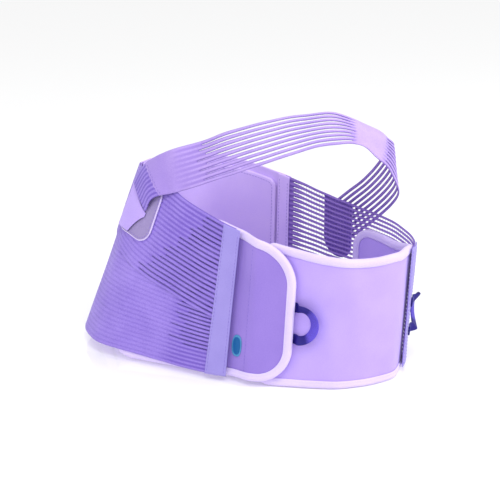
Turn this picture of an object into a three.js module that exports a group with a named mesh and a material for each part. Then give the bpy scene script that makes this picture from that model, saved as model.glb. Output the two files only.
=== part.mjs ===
// Maternity support belt, closed into a ring and standing on its lower edge.
// Millimetres, +Z up, the closure at the front faces -Y, the origin is at the middle of the base.
import * as THREE from 'three';

// The ring as it stands
const RING_WIDTH = 305;
const RING_DEPTH = 275;
const SIDE_HEIGHT = 195;
const HOOP_HEIGHT = 267;

// Cloth layers
const PANEL_THICKNESS = 3.4;
const ELASTIC_THICKNESS = 1.5;
const CROSS_THICKNESS = 1.2;
const TAPE_THICKNESS = 1.4;
const BINDING_THICKNESS = 1;
const BINDING_WIDTH = 8;
const BACK_THICKNESS = 1.6;
const LINING_THICKNESS = 3.4;
const STRAP_THICKNESS = 1.8;
const HOOK_THICKNESS = 2.4;
const FLAP_THICKNESS = 1.4;
const CLEARANCE = 0.3;
const FOLD_CLEARANCE = 0.6;
const EDGE_MARGIN = 2;
const TAPE_HOLD_SHARE = 0.7;

// Lengths along the wall, measured from the middle of the closure
const CLOSURE_LENGTH = 215;
const TAPE_WIDTH = 21;
const TAB_OVERLAP = 66;
const TAB_REACH_BEHIND = 102;
const PANEL_UNDER_TAB = 36.3;
const PANEL_REACH_BEHIND = 103;
const BACK_LENGTH = 224;
const SEAM_WIDTH = 15;
const SEAM_OVERLAP = 6;
const LINING_MARGIN = 18;
const CLOSURE_OFFSET = -9;

// Corner radii
const TAB_CORNER = 36;
const REACH_CORNER = 26;
const PANEL_CORNER = 12;

// Heights above the floor
const TAB_LIFT = 4;
const ELASTIC_LIFT = 11;
const REACH_DROP = 18;
const REACH_DROP_LENGTH = 76;
const LINING_DROP = 9;
const PULL_HEIGHT = 67;

// Ribs of the elastics
const RIGHT_GAPS = 24;
const LEFT_GAPS = 20;
const CROSS_GAPS = 12;
const STRAP_GAPS = 8;
const RIGHT_GAP_SHARE = 0.4;
const LEFT_GAP_SHARE = 0.28;
const CROSS_GAP_SHARE = 0.3;
const STRAP_GAP_SHARE = 0.34;
const CROSS_LOW_AT_TAPE = 56;
const CROSS_LOW_AT_BACK = 122;
const LEFT_GAP_LENGTH = 110;
const END_BAND = 5;

// Belly strap tabs
const STRAP_WIDTH = 44;
const STRAP_BULGE = 1.5;
const STRAP_STEPS = 30;
const STRAP_FRONT_RIBS = { from: 8, to: 17 };
const STRAP_REAR_RIBS = { from: 21, to: 29 };
const RIGHT_TAB_WIDTH = 36;
const RIGHT_TAB_DROP = 66;
const RIGHT_TAB_CORNER = 17.3;
const RIGHT_TAB_PLACE = 238;
const LEFT_TAB_WIDTH = 62;
const LEFT_TAB_LENGTH = 63;
const LEFT_TAB_PLACE = -255;
const LEFT_TAB_CORNER = 16;
const FLAP_CURL = 7;
const FLAP_CORNER_LENGTH = 23.8;

// Ends of the strap on its tabs: length along the wall, height and lift off the tab, at its low and
// high edge, from the left end to the right one
const STRAP_LEFT_END = {
  lowAlong: -238, lowHeight: 150, lowLift: 0,
  highAlong: -278, highHeight: 170, highLift: 0,
};
const STRAP_LEFT_RISE = {
  lowAlong: -230, lowHeight: 162, lowLift: 2,
  highAlong: -269, highHeight: 194, highLift: 2,
};
const STRAP_RIGHT_FALL = {
  lowAlong: 212, lowHeight: 118, lowLift: 5,
  highAlong: 235, highHeight: 154, highLift: 2,
};
const STRAP_RIGHT_END = {
  lowAlong: 234, lowHeight: 98, lowLift: 0,
  highAlong: 256, highHeight: 136, highLift: 0,
};

// Pull loops and the small blank patch
const LOOP_BAND = 10;
const LOOP_THICKNESS = 1.7;
const LOOP_HEIGHT = 42;
const LOOP_REACH = 25;
const LOOP_STAND = 5;
const LOOP_TILT = 50;
const LOOP_TURN_LENGTH = 6;
const LOOP_LEG_SHARE = 0.45;
const PATCH_WIDTH = 12;
const PATCH_HEIGHT = 22;
const PATCH_THICKNESS = 0.8;
const PATCH_PLACE_HEIGHT = 36;
const PATCH_DISTANCE = 7.2;

// Stations round the ring: foot and rim as shares of half the width and depth, rim height as a share
const STATION_COLUMNS = { footX: 1, footY: 2, rimX: 3, rimY: 4, rimHeight: 5 };
const STATIONS = [
  ['front', 0.38, -1.0, 0.43, -1.03, 0.697],
  ['front_right', 0.78, -0.95, 0.8, -1.02, 0.697],
  ['right', 1.0, -0.66, 1.01, -0.75, 0.697],
  ['right_back', 0.97, -0.26, 0.98, -0.32, 0.728],
  ['far_right', 0.73, 0.16, 0.72, 0.12, 0.779],
  ['back_right', 0.39, 0.61, 0.41, 0.57, 0.862],
  ['back', -0.02, 0.94, 0.07, 0.91, 0.915],
  ['back_left', -0.53, 1.0, -0.33, 0.89, 0.93],
  ['left', -0.97, 0.7, -0.56, 0.58, 0.95],
  ['left_front', -1.0, 0.15, -0.51, 0.16, 0.945],
  ['near_left', -0.58, -0.34, -0.32, -0.24, 0.846],
  ['near', -0.13, -0.73, -0.03, -0.62, 0.754],
];

// Sections of the free belly strap from left to right, as shares of half the width and depth
// and of the hoop's height
const STRAP_COLUMNS = { lowX: 1, lowY: 2, lowZ: 3, highX: 4, highY: 5, highZ: 6 };
const STRAP_SECTIONS = [
  ['left_turn', -0.487, -0.03, 0.66, -0.525, 0.15, 0.776],
  ['left_rise', -0.41, -0.08, 0.676, -0.44, 0.02, 0.814],
  ['left_front', -0.28, -0.18, 0.717, -0.28, -0.07, 0.841],
  ['front_left', -0.13, -0.34, 0.757, -0.14, -0.22, 0.9],
  ['near_front', 0.03, -0.55, 0.813, 0.04, -0.38, 0.951],
  ['front', 0.24, -0.76, 0.88, 0.27, -0.52, 0.989],
  ['crown', 0.44, -0.87, 0.914, 0.48, -0.6, 1.0],
  ['front_right', 0.59, -0.87, 0.906, 0.68, -0.58, 0.955],
  ['right_shoulder', 0.75, -0.8, 0.835, 0.86, -0.53, 0.895],
  ['right_fall', 0.91, -0.62, 0.745, 0.96, -0.42, 0.83],
  ['right_far', 1.01, -0.4, 0.635, 0.91, -0.34, 0.775],
  ['right_back', 1.02, -0.18, 0.539, 0.84, -0.14, 0.682],
];

const BASE_COLORS = {
  lilac: 0xc4a8ee,
  pale: 0xe6d8fb,
  violet: 0xa189e4,
  tape: 0xa599e6,
  lining: 0xc2a8f2,
  strap: 0xc9aaf0,
  hook: 0x9a8cc0,
  loop: 0x3b2f9a,
  patch: 0x1f6fa8,
};

// Materials, one for each kind of cloth
function cloth(color, roughness) {
  return new THREE.MeshStandardMaterial({ color, roughness, metalness: 0 });
}

const MATERIALS = {
  panel: cloth(BASE_COLORS.lilac, 0.85),
  binding: cloth(BASE_COLORS.pale, 0.75),
  tab: cloth(BASE_COLORS.violet, 0.85),
  elastic: cloth(BASE_COLORS.violet, 0.8),
  tape: cloth(BASE_COLORS.tape, 0.7),
  back: cloth(BASE_COLORS.tape, 0.85),
  lining: cloth(BASE_COLORS.lining, 0.9),
  strap: cloth(BASE_COLORS.strap, 0.8),
  hook: cloth(BASE_COLORS.hook, 0.95),
  loop: cloth(BASE_COLORS.loop, 0.55),
  patch: cloth(BASE_COLORS.patch, 0.45),
};

const belt = new THREE.Group();

// The wall that every piece of the ring lies on
const halfWidth = RING_WIDTH / 2;
const halfDepth = RING_DEPTH / 2;

function ringCurve(columnX, columnY, columnHeight) {
  const points = STATIONS.map((row) => {
    const height = columnHeight ? row[columnHeight] * SIDE_HEIGHT : 0;
    return new THREE.Vector3(row[columnX] * halfWidth, row[columnY] * halfDepth, height);
  });
  return new THREE.CatmullRomCurve3(points, true, 'catmullrom', 0.5);
}

const { footX, footY, rimX, rimY, rimHeight } = STATION_COLUMNS;
const footCurve = ringCurve(footX, footY);
const rimCurve = ringCurve(rimX, rimY, rimHeight);

// The wall is made of facets, so that pieces on one another lie parallel
const FACETS = 3 * STATIONS.length;
const facetLines = [];
for (let i = 0; i < FACETS; i += 1) {
  const foot = footCurve.getPoint(i / FACETS);
  const rim = rimCurve.getPoint(i / FACETS);
  facetLines.push({ foot, rim, middle: foot.clone().add(rim).multiplyScalar(0.5) });
}
facetLines.forEach((line, i) => {
  const before = facetLines[(i + FACETS - 1) % FACETS].middle;
  const after = facetLines[(i + 1) % FACETS].middle;
  const arriving = line.middle.clone().sub(before).normalize();
  const leaving = after.clone().sub(line.middle).normalize();
  const up = line.rim.clone().sub(line.foot).normalize();
  const tangent = arriving.clone().add(leaving).normalize();
  const mitre = 1 / tangent.dot(leaving);
  line.outward = tangent.cross(up).normalize().multiplyScalar(mitre);
  line.start = i === 0 ? 0 : facetLines[i - 1].start + before.distanceTo(line.middle);
});
const firstLine = facetLines[0];
const lastLine = facetLines[FACETS - 1];
const RING_LENGTH = lastLine.start + lastLine.middle.distanceTo(firstLine.middle);

// The facet at a length along the wall, which grows towards the right of the front
function facetAt(along) {
  const length = ((along % RING_LENGTH) + RING_LENGTH) % RING_LENGTH;
  let index = FACETS - 1;
  while (facetLines[index].start > length) index -= 1;
  const end = index === FACETS - 1 ? RING_LENGTH : facetLines[index + 1].start;
  const share = (length - facetLines[index].start) / (end - facetLines[index].start);
  return { from: facetLines[index], to: facetLines[(index + 1) % FACETS], share };
}

function rimHeightAt(along) {
  const { from, to, share } = facetAt(along);
  return THREE.MathUtils.lerp(from.rim.z, to.rim.z, share);
}

// A point of the wall: length along it, height above the floor, distance outwards from its face
function wallPoint(along, height, out) {
  const { from, to, share } = facetAt(along);
  const up = height / THREE.MathUtils.lerp(from.rim.z, to.rim.z, share);
  const onLine = (line) => line.foot.clone().lerp(line.rim, up).addScaledVector(line.outward, out);
  return onLine(from).lerp(onLine(to), share);
}

// Lengths from one end of a piece to the other, with the facet lines between them and some more
function wallLengths(from, to, more = []) {
  const nearest = 0.6;
  const lengths = [from, to, ...more];
  for (const turn of [-RING_LENGTH, 0, RING_LENGTH]) {
    for (const line of facetLines) {
      const length = line.start + turn;
      if (length <= from || length >= to) continue;
      if (lengths.every((other) => Math.abs(other - length) > nearest)) lengths.push(length);
    }
  }
  return lengths.sort((a, b) => a - b);
}

// Smooth change from 0 to 1 between two lengths, and an even one
function ease(value, from, to) {
  return THREE.MathUtils.smoothstep(value, from, to);
}

function ramp(value, from, to) {
  return THREE.MathUtils.clamp((value - from) / (to - from), 0, 1);
}

function mix(from, to, share) {
  return from + (to - from) * share;
}

// Places along the wall
const tapeMiddle = CLOSURE_LENGTH / 2;
const leftTape = {
  from: CLOSURE_OFFSET - tapeMiddle - TAPE_WIDTH / 2,
  to: CLOSURE_OFFSET - tapeMiddle + TAPE_WIDTH / 2,
};
const rightTape = {
  from: CLOSURE_OFFSET + tapeMiddle - TAPE_WIDTH / 2,
  to: CLOSURE_OFFSET + tapeMiddle + TAPE_WIDTH / 2,
};
const backMiddle = CLOSURE_OFFSET + RING_LENGTH / 2;
const back = { from: backMiddle - BACK_LENGTH / 2, to: backMiddle + BACK_LENGTH / 2 };
const tabEnd = leftTape.to + TAB_OVERLAP;
const tabReach = leftTape.from - TAB_REACH_BEHIND;
const panelStart = tabEnd - PANEL_UNDER_TAB;
const panelReach = rightTape.to + PANEL_REACH_BEHIND;

// Layers outwards from the inner face of the elastics
const bindingStand = BINDING_THICKNESS + FOLD_CLEARANCE;
const crossFace = ELASTIC_THICKNESS + CLEARANCE;
const leftTapeFace = crossFace + CROSS_THICKNESS + CLEARANCE;
const rightTapeFace = ELASTIC_THICKNESS + CLEARANCE;
const behindElastic = -(CLEARANCE + bindingStand + PANEL_THICKNESS / 2);
const overPanel = PANEL_THICKNESS + bindingStand + LOOP_THICKNESS + 5 * CLEARANCE;
const backFace = ELASTIC_THICKNESS + CLEARANCE;

const panelBends = [rightTape.from - TAPE_WIDTH, rightTape.from];
const tabBends = [leftTape.to, panelStart - EDGE_MARGIN];

// Middle of the front panel's thickness: flush at the front, behind the elastic on the right
function panelMiddle(along) {
  return behindElastic * ramp(along, panelBends[0], panelBends[1]);
}

// Middle of the closure tab's thickness: behind the elastic on the left, over the panel at the front
function tabMiddle(along) {
  return mix(behindElastic, overPanel, ramp(along, tabBends[0], tabBends[1]));
}

// Geometry of closed sheets
function facingOut(geometry) {
  const position = geometry.getAttribute('position');
  const a = new THREE.Vector3();
  const b = new THREE.Vector3();
  const c = new THREE.Vector3();
  let volume = 0;
  for (let i = 0; i < position.count; i += 3) {
    a.fromBufferAttribute(position, i);
    b.fromBufferAttribute(position, i + 1);
    c.fromBufferAttribute(position, i + 2);
    volume += a.dot(b.cross(c));
  }
  if (volume > 0) return geometry;
  for (let i = 0; i < position.count; i += 3) {
    a.fromBufferAttribute(position, i + 1);
    b.fromBufferAttribute(position, i + 2);
    position.setXYZ(i + 1, b.x, b.y, b.z);
    position.setXYZ(i + 2, a.x, a.y, a.z);
  }
  return geometry;
}

function geometryOf(quads) {
  const values = [];
  for (const [a, b, c, d] of quads) {
    for (const corner of [a, b, c, a, c, d]) values.push(corner.x, corner.y, corner.z);
  }
  const geometry = new THREE.BufferGeometry();
  geometry.setAttribute('position', new THREE.Float32BufferAttribute(values, 3));
  facingOut(geometry);
  geometry.computeVertexNormals();
  return geometry;
}

// A sheet of cells, columns along it and rows across it, less the cells of its gaps
function sheetGeometry(columns, rows, place, isGap) {
  const inner = [];
  const outer = [];
  for (let i = 0; i <= columns; i += 1) {
    inner.push([]);
    outer.push([]);
    for (let k = 0; k <= rows; k += 1) {
      inner[i].push(place(i, k, 0));
      outer[i].push(place(i, k, 1));
    }
  }
  const solid = (i, k) => i >= 0 && k >= 0 && i < columns && k < rows && !(isGap && isGap(i, k));
  const quads = [];
  for (let i = 0; i < columns; i += 1) {
    for (let k = 0; k < rows; k += 1) {
      if (!solid(i, k)) continue;
      quads.push([outer[i][k], outer[i + 1][k], outer[i + 1][k + 1], outer[i][k + 1]]);
      quads.push([inner[i][k], inner[i][k + 1], inner[i + 1][k + 1], inner[i + 1][k]]);
      if (!solid(i, k - 1)) quads.push([inner[i][k], inner[i + 1][k], outer[i + 1][k], outer[i][k]]);
      if (!solid(i, k + 1)) {
        quads.push([outer[i][k + 1], outer[i + 1][k + 1], inner[i + 1][k + 1], inner[i][k + 1]]);
      }
      if (!solid(i - 1, k)) quads.push([inner[i][k], outer[i][k], outer[i][k + 1], inner[i][k + 1]]);
      if (!solid(i + 1, k)) {
        quads.push([inner[i + 1][k + 1], outer[i + 1][k + 1], outer[i + 1][k], inner[i + 1][k]]);
      }
    }
  }
  return geometryOf(quads);
}

// A section swept along frames that each give the section's points, closed on itself or with end caps
function sweptGeometry(rings, closed) {
  const quads = [];
  const count = rings.length;
  const size = rings[0].length;
  const last = closed ? count : count - 1;
  for (let i = 0; i < last; i += 1) {
    const here = rings[i];
    const next = rings[(i + 1) % count];
    for (let k = 0; k < size; k += 1) {
      quads.push([here[k], next[k], next[(k + 1) % size], here[(k + 1) % size]]);
    }
  }
  if (!closed) {
    quads.push([rings[0][0], rings[0][1], rings[0][2], rings[0][3]]);
    quads.push([rings[count - 1][3], rings[count - 1][2], rings[count - 1][1], rings[count - 1][0]]);
  }
  return geometryOf(quads);
}

function addPiece(name, geometry, material) {
  const mesh = new THREE.Mesh(geometry, material);
  mesh.name = name;
  belt.add(mesh);
  return mesh;
}

// Outlines on the wall: a piece with rounded corners between a low and a high edge
const CORNER_STEPS = 3;

function cornerInset(distance, radius) {
  const across = THREE.MathUtils.clamp(radius - distance, 0, radius);
  return radius - Math.sqrt(radius * radius - across * across);
}

// Lengths at which a rounded piece has its columns, closer together in its corners
function roundedLengths(from, to, cornerFrom, cornerTo, bends = []) {
  const corners = [...bends];
  for (let i = 1; i <= CORNER_STEPS; i += 1) {
    const angle = (i / CORNER_STEPS) * (Math.PI / 2);
    corners.push(from + cornerFrom * (1 - Math.cos(angle)));
    corners.push(to - cornerTo * (1 - Math.cos(angle)));
  }
  return wallLengths(from, to, corners);
}

// The low and high edges of a rounded piece at a length, with an inset all round
function roundedEdges(shape, along, inset) {
  const fromStart = along - shape.from - inset;
  const fromEnd = shape.to - inset - along;
  const cut = cornerInset(fromStart, shape.cornerFrom - inset) + cornerInset(fromEnd, shape.cornerTo - inset);
  const highCut = shape.squareTop ? 0 : cut;
  return { low: shape.low(along) + inset + cut, high: shape.high(along) - inset - highCut };
}

// Height of a row: even ones, or narrow first and last rows under a binding
function rowHeight({ low, high }, k, rows, edgeRow) {
  if (!edgeRow || k === 0 || k === rows) return mix(low, high, k / rows);
  return mix(low + edgeRow, high - edgeRow, (k - 1) / (rows - 2));
}

function roundedSheet(shape, inset, rows, face, thickness) {
  const lengths = roundedLengths(
    shape.from + inset,
    shape.to - inset,
    shape.cornerFrom - inset,
    shape.cornerTo - inset,
    shape.bends,
  );
  const place = (i, k, side) => {
    const edges = roundedEdges(shape, lengths[i], inset);
    const height = rowHeight(edges, k, rows, shape.edgeRow);
    return wallPoint(lengths[i], height, face(lengths[i], height) + side * thickness);
  };
  return sheetGeometry(lengths.length - 1, rows, place);
}

// The outline of a rounded piece as a loop of points, each with the way inwards
function roundedLoop(shape) {
  const lengths = roundedLengths(shape.from, shape.to, shape.cornerFrom, shape.cornerTo, shape.bends);
  const edges = lengths.map((along) => ({ along, ...roundedEdges(shape, along, 0) }));
  const low = edges.map(({ along, low: height }) => ({ along, height }));
  const high = edges.map(({ along, high: height }) => ({ along, height }));
  const sideRows = 4;
  const side = (start, end) => {
    const points = [];
    for (let i = 1; i < sideRows; i += 1) {
      points.push({ along: start.along, height: mix(start.height, end.height, i / sideRows) });
    }
    return points;
  };
  const end = lengths.length - 1;
  const loop = [
    ...low,
    ...side(low[end], high[end]),
    ...high.slice().reverse(),
    ...side(high[0], low[0]),
  ];
  return loop.map((point, i) => {
    const before = loop[(i + loop.length - 1) % loop.length];
    const after = loop[(i + 1) % loop.length];
    const alongStep = after.along - before.along;
    const heightStep = after.height - before.height;
    const size = Math.hypot(alongStep, heightStep);
    return { ...point, inAlong: -heightStep / size, inHeight: alongStep / size };
  });
}

// A folded binding: a channel over the edge of a rounded piece
function bindingGeometry(shape, middle, thickness) {
  const face = thickness / 2 + FOLD_CLEARANCE;
  const skin = face + BINDING_THICKNESS;
  const edge = BINDING_THICKNESS;
  const section = [
    [BINDING_WIDTH, face],
    [BINDING_WIDTH, skin],
    [0, skin],
    [0, -skin],
    [BINDING_WIDTH, -skin],
    [BINDING_WIDTH, -face],
    [edge, -face],
    [edge, face],
  ];
  const rings = roundedLoop(shape).map((point) => {
    return section.map(([inwards, out]) => {
      const along = point.along + point.inAlong * inwards;
      const height = point.height + point.inHeight * inwards;
      return wallPoint(along, height, middle(along) + out);
    });
  });
  return sweptGeometry(rings, true);
}

const edgeInset = BINDING_THICKNESS + FOLD_CLEARANCE;

// Front panel: the long padded tab of the right side, which passes under the closure tab on the left
// and ends inside the ring on the right
const frontPanel = {
  from: panelStart,
  to: panelReach,
  cornerFrom: PANEL_CORNER,
  cornerTo: REACH_CORNER,
  bends: panelBends,
  edgeRow: BINDING_WIDTH,
  low: () => 0,
  high: (along) =>
    rimHeightAt(along) - REACH_DROP * ease(along, rightTape.from, rightTape.from + REACH_DROP_LENGTH),
};
const innerPanelFace = (along) => panelMiddle(along) - PANEL_THICKNESS / 2;
addPiece(
  'front_panel',
  roundedSheet(frontPanel, edgeInset, 4, innerPanelFace, PANEL_THICKNESS),
  MATERIALS.panel,
);
addPiece(
  'front_panel_binding',
  bindingGeometry(frontPanel, panelMiddle, PANEL_THICKNESS),
  MATERIALS.binding,
);

// Closure tab: the padded tab of the left side, fastened over the front panel
const closureTab = {
  from: tabReach,
  to: tabEnd,
  cornerFrom: REACH_CORNER,
  cornerTo: TAB_CORNER,
  bends: tabBends,
  edgeRow: BINDING_WIDTH,
  low: () => TAB_LIFT,
  high: (along) => rimHeightAt(along) - REACH_DROP * ease(leftTape.from - along, 0, REACH_DROP_LENGTH),
};
addPiece(
  'closure_tab',
  roundedSheet(closureTab, edgeInset, 5, (along) => tabMiddle(along) - PANEL_THICKNESS / 2, PANEL_THICKNESS),
  MATERIALS.tab,
);
addPiece(
  'closure_tab_binding',
  bindingGeometry(closureTab, tabMiddle, PANEL_THICKNESS),
  MATERIALS.binding,
);

// Elastics: ribs along the wall with gaps cut through between two end bands
function ribShares(gaps, gapShare) {
  const shares = [0];
  const pitch = 1 / (gaps + 1 - gapShare);
  for (let i = 0; i < gaps; i += 1) {
    shares.push((i + 1 - gapShare) * pitch);
    shares.push((i + 1) * pitch);
  }
  shares.push(1);
  return shares;
}

// An elastic sheet: the gaps run from one length to another and narrow on the way
function elasticGeometry({ from, to, gapsFrom, gapsTo, gaps, gapShare, narrowing, low, face, thickness }) {
  const shares = ribShares(gaps, gapShare);
  const lengths = wallLengths(from, to, [gapsFrom, gapsTo]);
  const spread = (along, k) => {
    if (k === 0 || k === shares.length - 1) return shares[k];
    const gap = Math.floor((k - 1) / 2);
    const middle = (shares[2 * gap + 1] + shares[2 * gap + 2]) / 2;
    return mix(middle, shares[k], narrowing(along));
  };
  const place = (i, k, side) => {
    const along = lengths[i];
    const height = mix(low(along), rimHeightAt(along), spread(along, k));
    return wallPoint(along, height, face + side * thickness);
  };
  const isGap = (i, k) => k % 2 === 1 && lengths[i] >= gapsFrom && lengths[i] < gapsTo;
  return sheetGeometry(lengths.length - 1, shares.length - 1, place, isGap);
}

// Height of the elastics' lower edge above the floor on the left side
function leftLow(along) {
  const rise = ease(leftTape.from - along, 0, TAB_REACH_BEHIND);
  return mix(TAB_LIFT, ELASTIC_LIFT, rise);
}

const backLeftEnd = back.to - RING_LENGTH;
const leftElastic = { from: backLeftEnd - SEAM_OVERLAP, to: leftTape.from + TAPE_WIDTH * TAPE_HOLD_SHARE };
const rightElastic = { from: rightTape.to - TAPE_WIDTH * TAPE_HOLD_SHARE, to: back.from + SEAM_OVERLAP };

addPiece(
  'right_elastic',
  elasticGeometry({
    ...rightElastic,
    gapsFrom: rightTape.to + CLEARANCE,
    gapsTo: back.from - END_BAND,
    gaps: RIGHT_GAPS,
    gapShare: RIGHT_GAP_SHARE,
    narrowing: () => 1,
    low: (along) => TAB_LIFT * (1 - ease(along, rightElastic.from, rightElastic.to)),
    face: 0,
    thickness: ELASTIC_THICKNESS,
  }),
  MATERIALS.elastic,
);

// On the left the gaps are widest at the tape and close towards the back
const leftGaps = {
  gapsFrom: leftTape.from - LEFT_GAP_LENGTH,
  gapsTo: leftTape.from - CLEARANCE,
  narrowing: (along) => mix(0.3, 1, ease(along, leftTape.from - LEFT_GAP_LENGTH, leftTape.from)),
};
addPiece(
  'left_elastic',
  elasticGeometry({
    ...leftElastic,
    ...leftGaps,
    gaps: LEFT_GAPS,
    gapShare: LEFT_GAP_SHARE,
    low: leftLow,
    face: 0,
    thickness: ELASTIC_THICKNESS,
  }),
  MATERIALS.elastic,
);

// The diagonal elastic over the left one fans out from the tape to the back
addPiece(
  'left_cross_elastic',
  elasticGeometry({
    ...leftElastic,
    from: backLeftEnd + CLEARANCE,
    ...leftGaps,
    gaps: CROSS_GAPS,
    gapShare: CROSS_GAP_SHARE,
    low: (along) => {
      const share = (along - leftElastic.from) / (leftElastic.to - leftElastic.from);
      return mix(CROSS_LOW_AT_BACK, CROSS_LOW_AT_TAPE, share);
    },
    face: crossFace,
    thickness: CROSS_THICKNESS,
  }),
  MATERIALS.elastic,
);

// Tapes over the ends of the elastics
function bandSheet({ from, to }, low, face, thickness, rows) {
  const lengths = wallLengths(from, to);
  return sheetGeometry(lengths.length - 1, rows, (i, k, side) => {
    const along = lengths[i];
    return wallPoint(along, mix(low, rimHeightAt(along), k / rows), face + side * thickness);
  });
}
const TAPE_ROWS = 6;
addPiece(
  'left_seam_tape',
  bandSheet(leftTape, TAB_LIFT, leftTapeFace, TAPE_THICKNESS, TAPE_ROWS),
  MATERIALS.tape,
);
addPiece(
  'right_seam_tape',
  bandSheet(rightTape, TAB_LIFT, rightTapeFace, TAPE_THICKNESS, TAPE_ROWS),
  MATERIALS.tape,
);

// Back panel outside the elastics' ends, its lining pad inside and a tape over each joint
addPiece('back_panel', bandSheet(back, 0, backFace, BACK_THICKNESS, TAPE_ROWS), MATERIALS.back);
const liningShape = {
  from: back.from + LINING_MARGIN,
  to: back.to - LINING_MARGIN,
  cornerFrom: LINING_DROP,
  cornerTo: LINING_DROP,
  low: () => LINING_DROP / 2,
  high: (along) => rimHeightAt(along) - LINING_DROP,
};
const liningFace = backFace - 2 * CLEARANCE - LINING_THICKNESS;
addPiece(
  'back_lining',
  roundedSheet(liningShape, 0, TAPE_ROWS, () => liningFace, LINING_THICKNESS),
  MATERIALS.lining,
);
const seamFace = -CLEARANCE - TAPE_THICKNESS;
const backRightSeam = { from: back.from, to: back.from + SEAM_WIDTH };
const backLeftSeam = { from: back.to - SEAM_WIDTH, to: back.to };
addPiece(
  'back_right_seam_tape',
  bandSheet(backRightSeam, TAB_LIFT, seamFace, TAPE_THICKNESS, TAPE_ROWS),
  MATERIALS.tape,
);
addPiece(
  'back_left_seam_tape',
  bandSheet(backLeftSeam, TAB_LIFT, seamFace, TAPE_THICKNESS, TAPE_ROWS),
  MATERIALS.tape,
);

// Hook tabs of the belly strap on the outside of the elastics
const rightTabFace = ELASTIC_THICKNESS + CLEARANCE;
const rightTabShape = {
  from: RIGHT_TAB_PLACE - RIGHT_TAB_WIDTH / 2,
  to: RIGHT_TAB_PLACE + RIGHT_TAB_WIDTH / 2,
  cornerFrom: RIGHT_TAB_CORNER,
  cornerTo: RIGHT_TAB_CORNER,
  squareTop: true,
  low: (along) => rimHeightAt(along) - RIGHT_TAB_DROP,
  high: (along) => rimHeightAt(along) - EDGE_MARGIN,
};
addPiece(
  'strap_right_tab',
  roundedSheet(rightTabShape, 0, 3, () => rightTabFace, HOOK_THICKNESS),
  MATERIALS.hook,
);
const leftTabFace = leftTapeFace;
const leftTabShape = {
  from: LEFT_TAB_PLACE - LEFT_TAB_WIDTH / 2,
  to: LEFT_TAB_PLACE + LEFT_TAB_WIDTH / 2,
  cornerFrom: LEFT_TAB_CORNER,
  cornerTo: LEFT_TAB_CORNER,
  low: (along) => rimHeightAt(along) - LEFT_TAB_LENGTH,
  high: (along) => rimHeightAt(along) - EDGE_MARGIN,
};
addPiece(
  'strap_left_tab',
  roundedSheet(leftTabShape, 0, 4, () => leftTabFace, HOOK_THICKNESS),
  MATERIALS.hook,
);

// The strap's left end on the tab, and the flap below it, whose slanted front edge curls off the tab
const flapFace = leftTabFace + HOOK_THICKNESS + 2 * CLEARANCE;
const flap = { from: leftTabShape.from + EDGE_MARGIN, to: STRAP_LEFT_END.lowAlong };
const flapCorner = flap.to - FLAP_CORNER_LENGTH;
const FLAP_ROWS = 4;
function flapHigh(along) {
  const { lowAlong, lowHeight, highAlong, highHeight } = STRAP_LEFT_END;
  return mix(lowHeight, highHeight, (along - lowAlong) / (highAlong - lowAlong)) - EDGE_MARGIN;
}
function flapLow(along) {
  const low = leftTabShape.low(along) + EDGE_MARGIN;
  return mix(low, flapHigh(along) - 2 * EDGE_MARGIN, ramp(along, flapCorner, flap.to));
}
function flapGeometry() {
  const lengths = wallLengths(flap.from, flap.to, [flapCorner]);
  return sheetGeometry(lengths.length - 1, FLAP_ROWS, (i, k, side) => {
    const along = lengths[i];
    const height = mix(flapLow(along), flapHigh(along), k / FLAP_ROWS);
    const curl = FLAP_CURL * (1 - k / FLAP_ROWS) ** 2 * ease(along, flapCorner - LEFT_TAB_CORNER, flap.to);
    return wallPoint(along, height, flapFace + curl + side * FLAP_THICKNESS);
  });
}
addPiece('strap_left_flap', flapGeometry(), MATERIALS.strap);

// Belly strap: a ribbed band that arches over the front from the left tab to the right one
const strapLeftFace = flapFace + STRAP_BULGE + STRAP_THICKNESS / 2;
const strapRightFace = rightTabFace + HOOK_THICKNESS + CLEARANCE + STRAP_THICKNESS / 2;
function seatedSection(end, face) {
  return {
    low: wallPoint(end.lowAlong, end.lowHeight, face + end.lowLift),
    high: wallPoint(end.highAlong, end.highHeight, face + end.highLift),
  };
}
const { lowX, lowY, lowZ, highX, highY, highZ } = STRAP_COLUMNS;
const freeSections = STRAP_SECTIONS.map((row) => ({
  low: new THREE.Vector3(row[lowX] * halfWidth, row[lowY] * halfDepth, row[lowZ] * HOOP_HEIGHT),
  high: new THREE.Vector3(row[highX] * halfWidth, row[highY] * halfDepth, row[highZ] * HOOP_HEIGHT),
}));
const strapSections = [
  seatedSection(STRAP_LEFT_END, strapLeftFace),
  seatedSection(STRAP_LEFT_RISE, strapLeftFace),
  ...freeSections,
  seatedSection(STRAP_RIGHT_FALL, strapRightFace),
  seatedSection(STRAP_RIGHT_END, strapRightFace),
];
const strapLow = new THREE.CatmullRomCurve3(strapSections.map((section) => section.low));
const strapHigh = new THREE.CatmullRomCurve3(strapSections.map((section) => section.high));

function strapPoint(share, up, side) {
  const step = 0.004;
  const low = strapLow.getPoint(share);
  const high = strapHigh.getPoint(share);
  const middle = low.clone().add(high).multiplyScalar(0.5);
  const across = high.clone().sub(low).normalize().multiplyScalar(STRAP_WIDTH / 2);
  const shareBefore = Math.max(share - step, 0);
  const shareAfter = Math.min(share + step, 1);
  const before = strapLow.getPoint(shareBefore).add(strapHigh.getPoint(shareBefore));
  const after = strapLow.getPoint(shareAfter).add(strapHigh.getPoint(shareAfter));
  const outward = after.sub(before).cross(across).normalize();
  const bulge = STRAP_BULGE * (1 - (2 * up - 1) ** 2);
  return middle
    .addScaledVector(across, 2 * up - 1)
    .addScaledVector(outward, bulge + (side - 0.5) * STRAP_THICKNESS);
}

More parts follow.
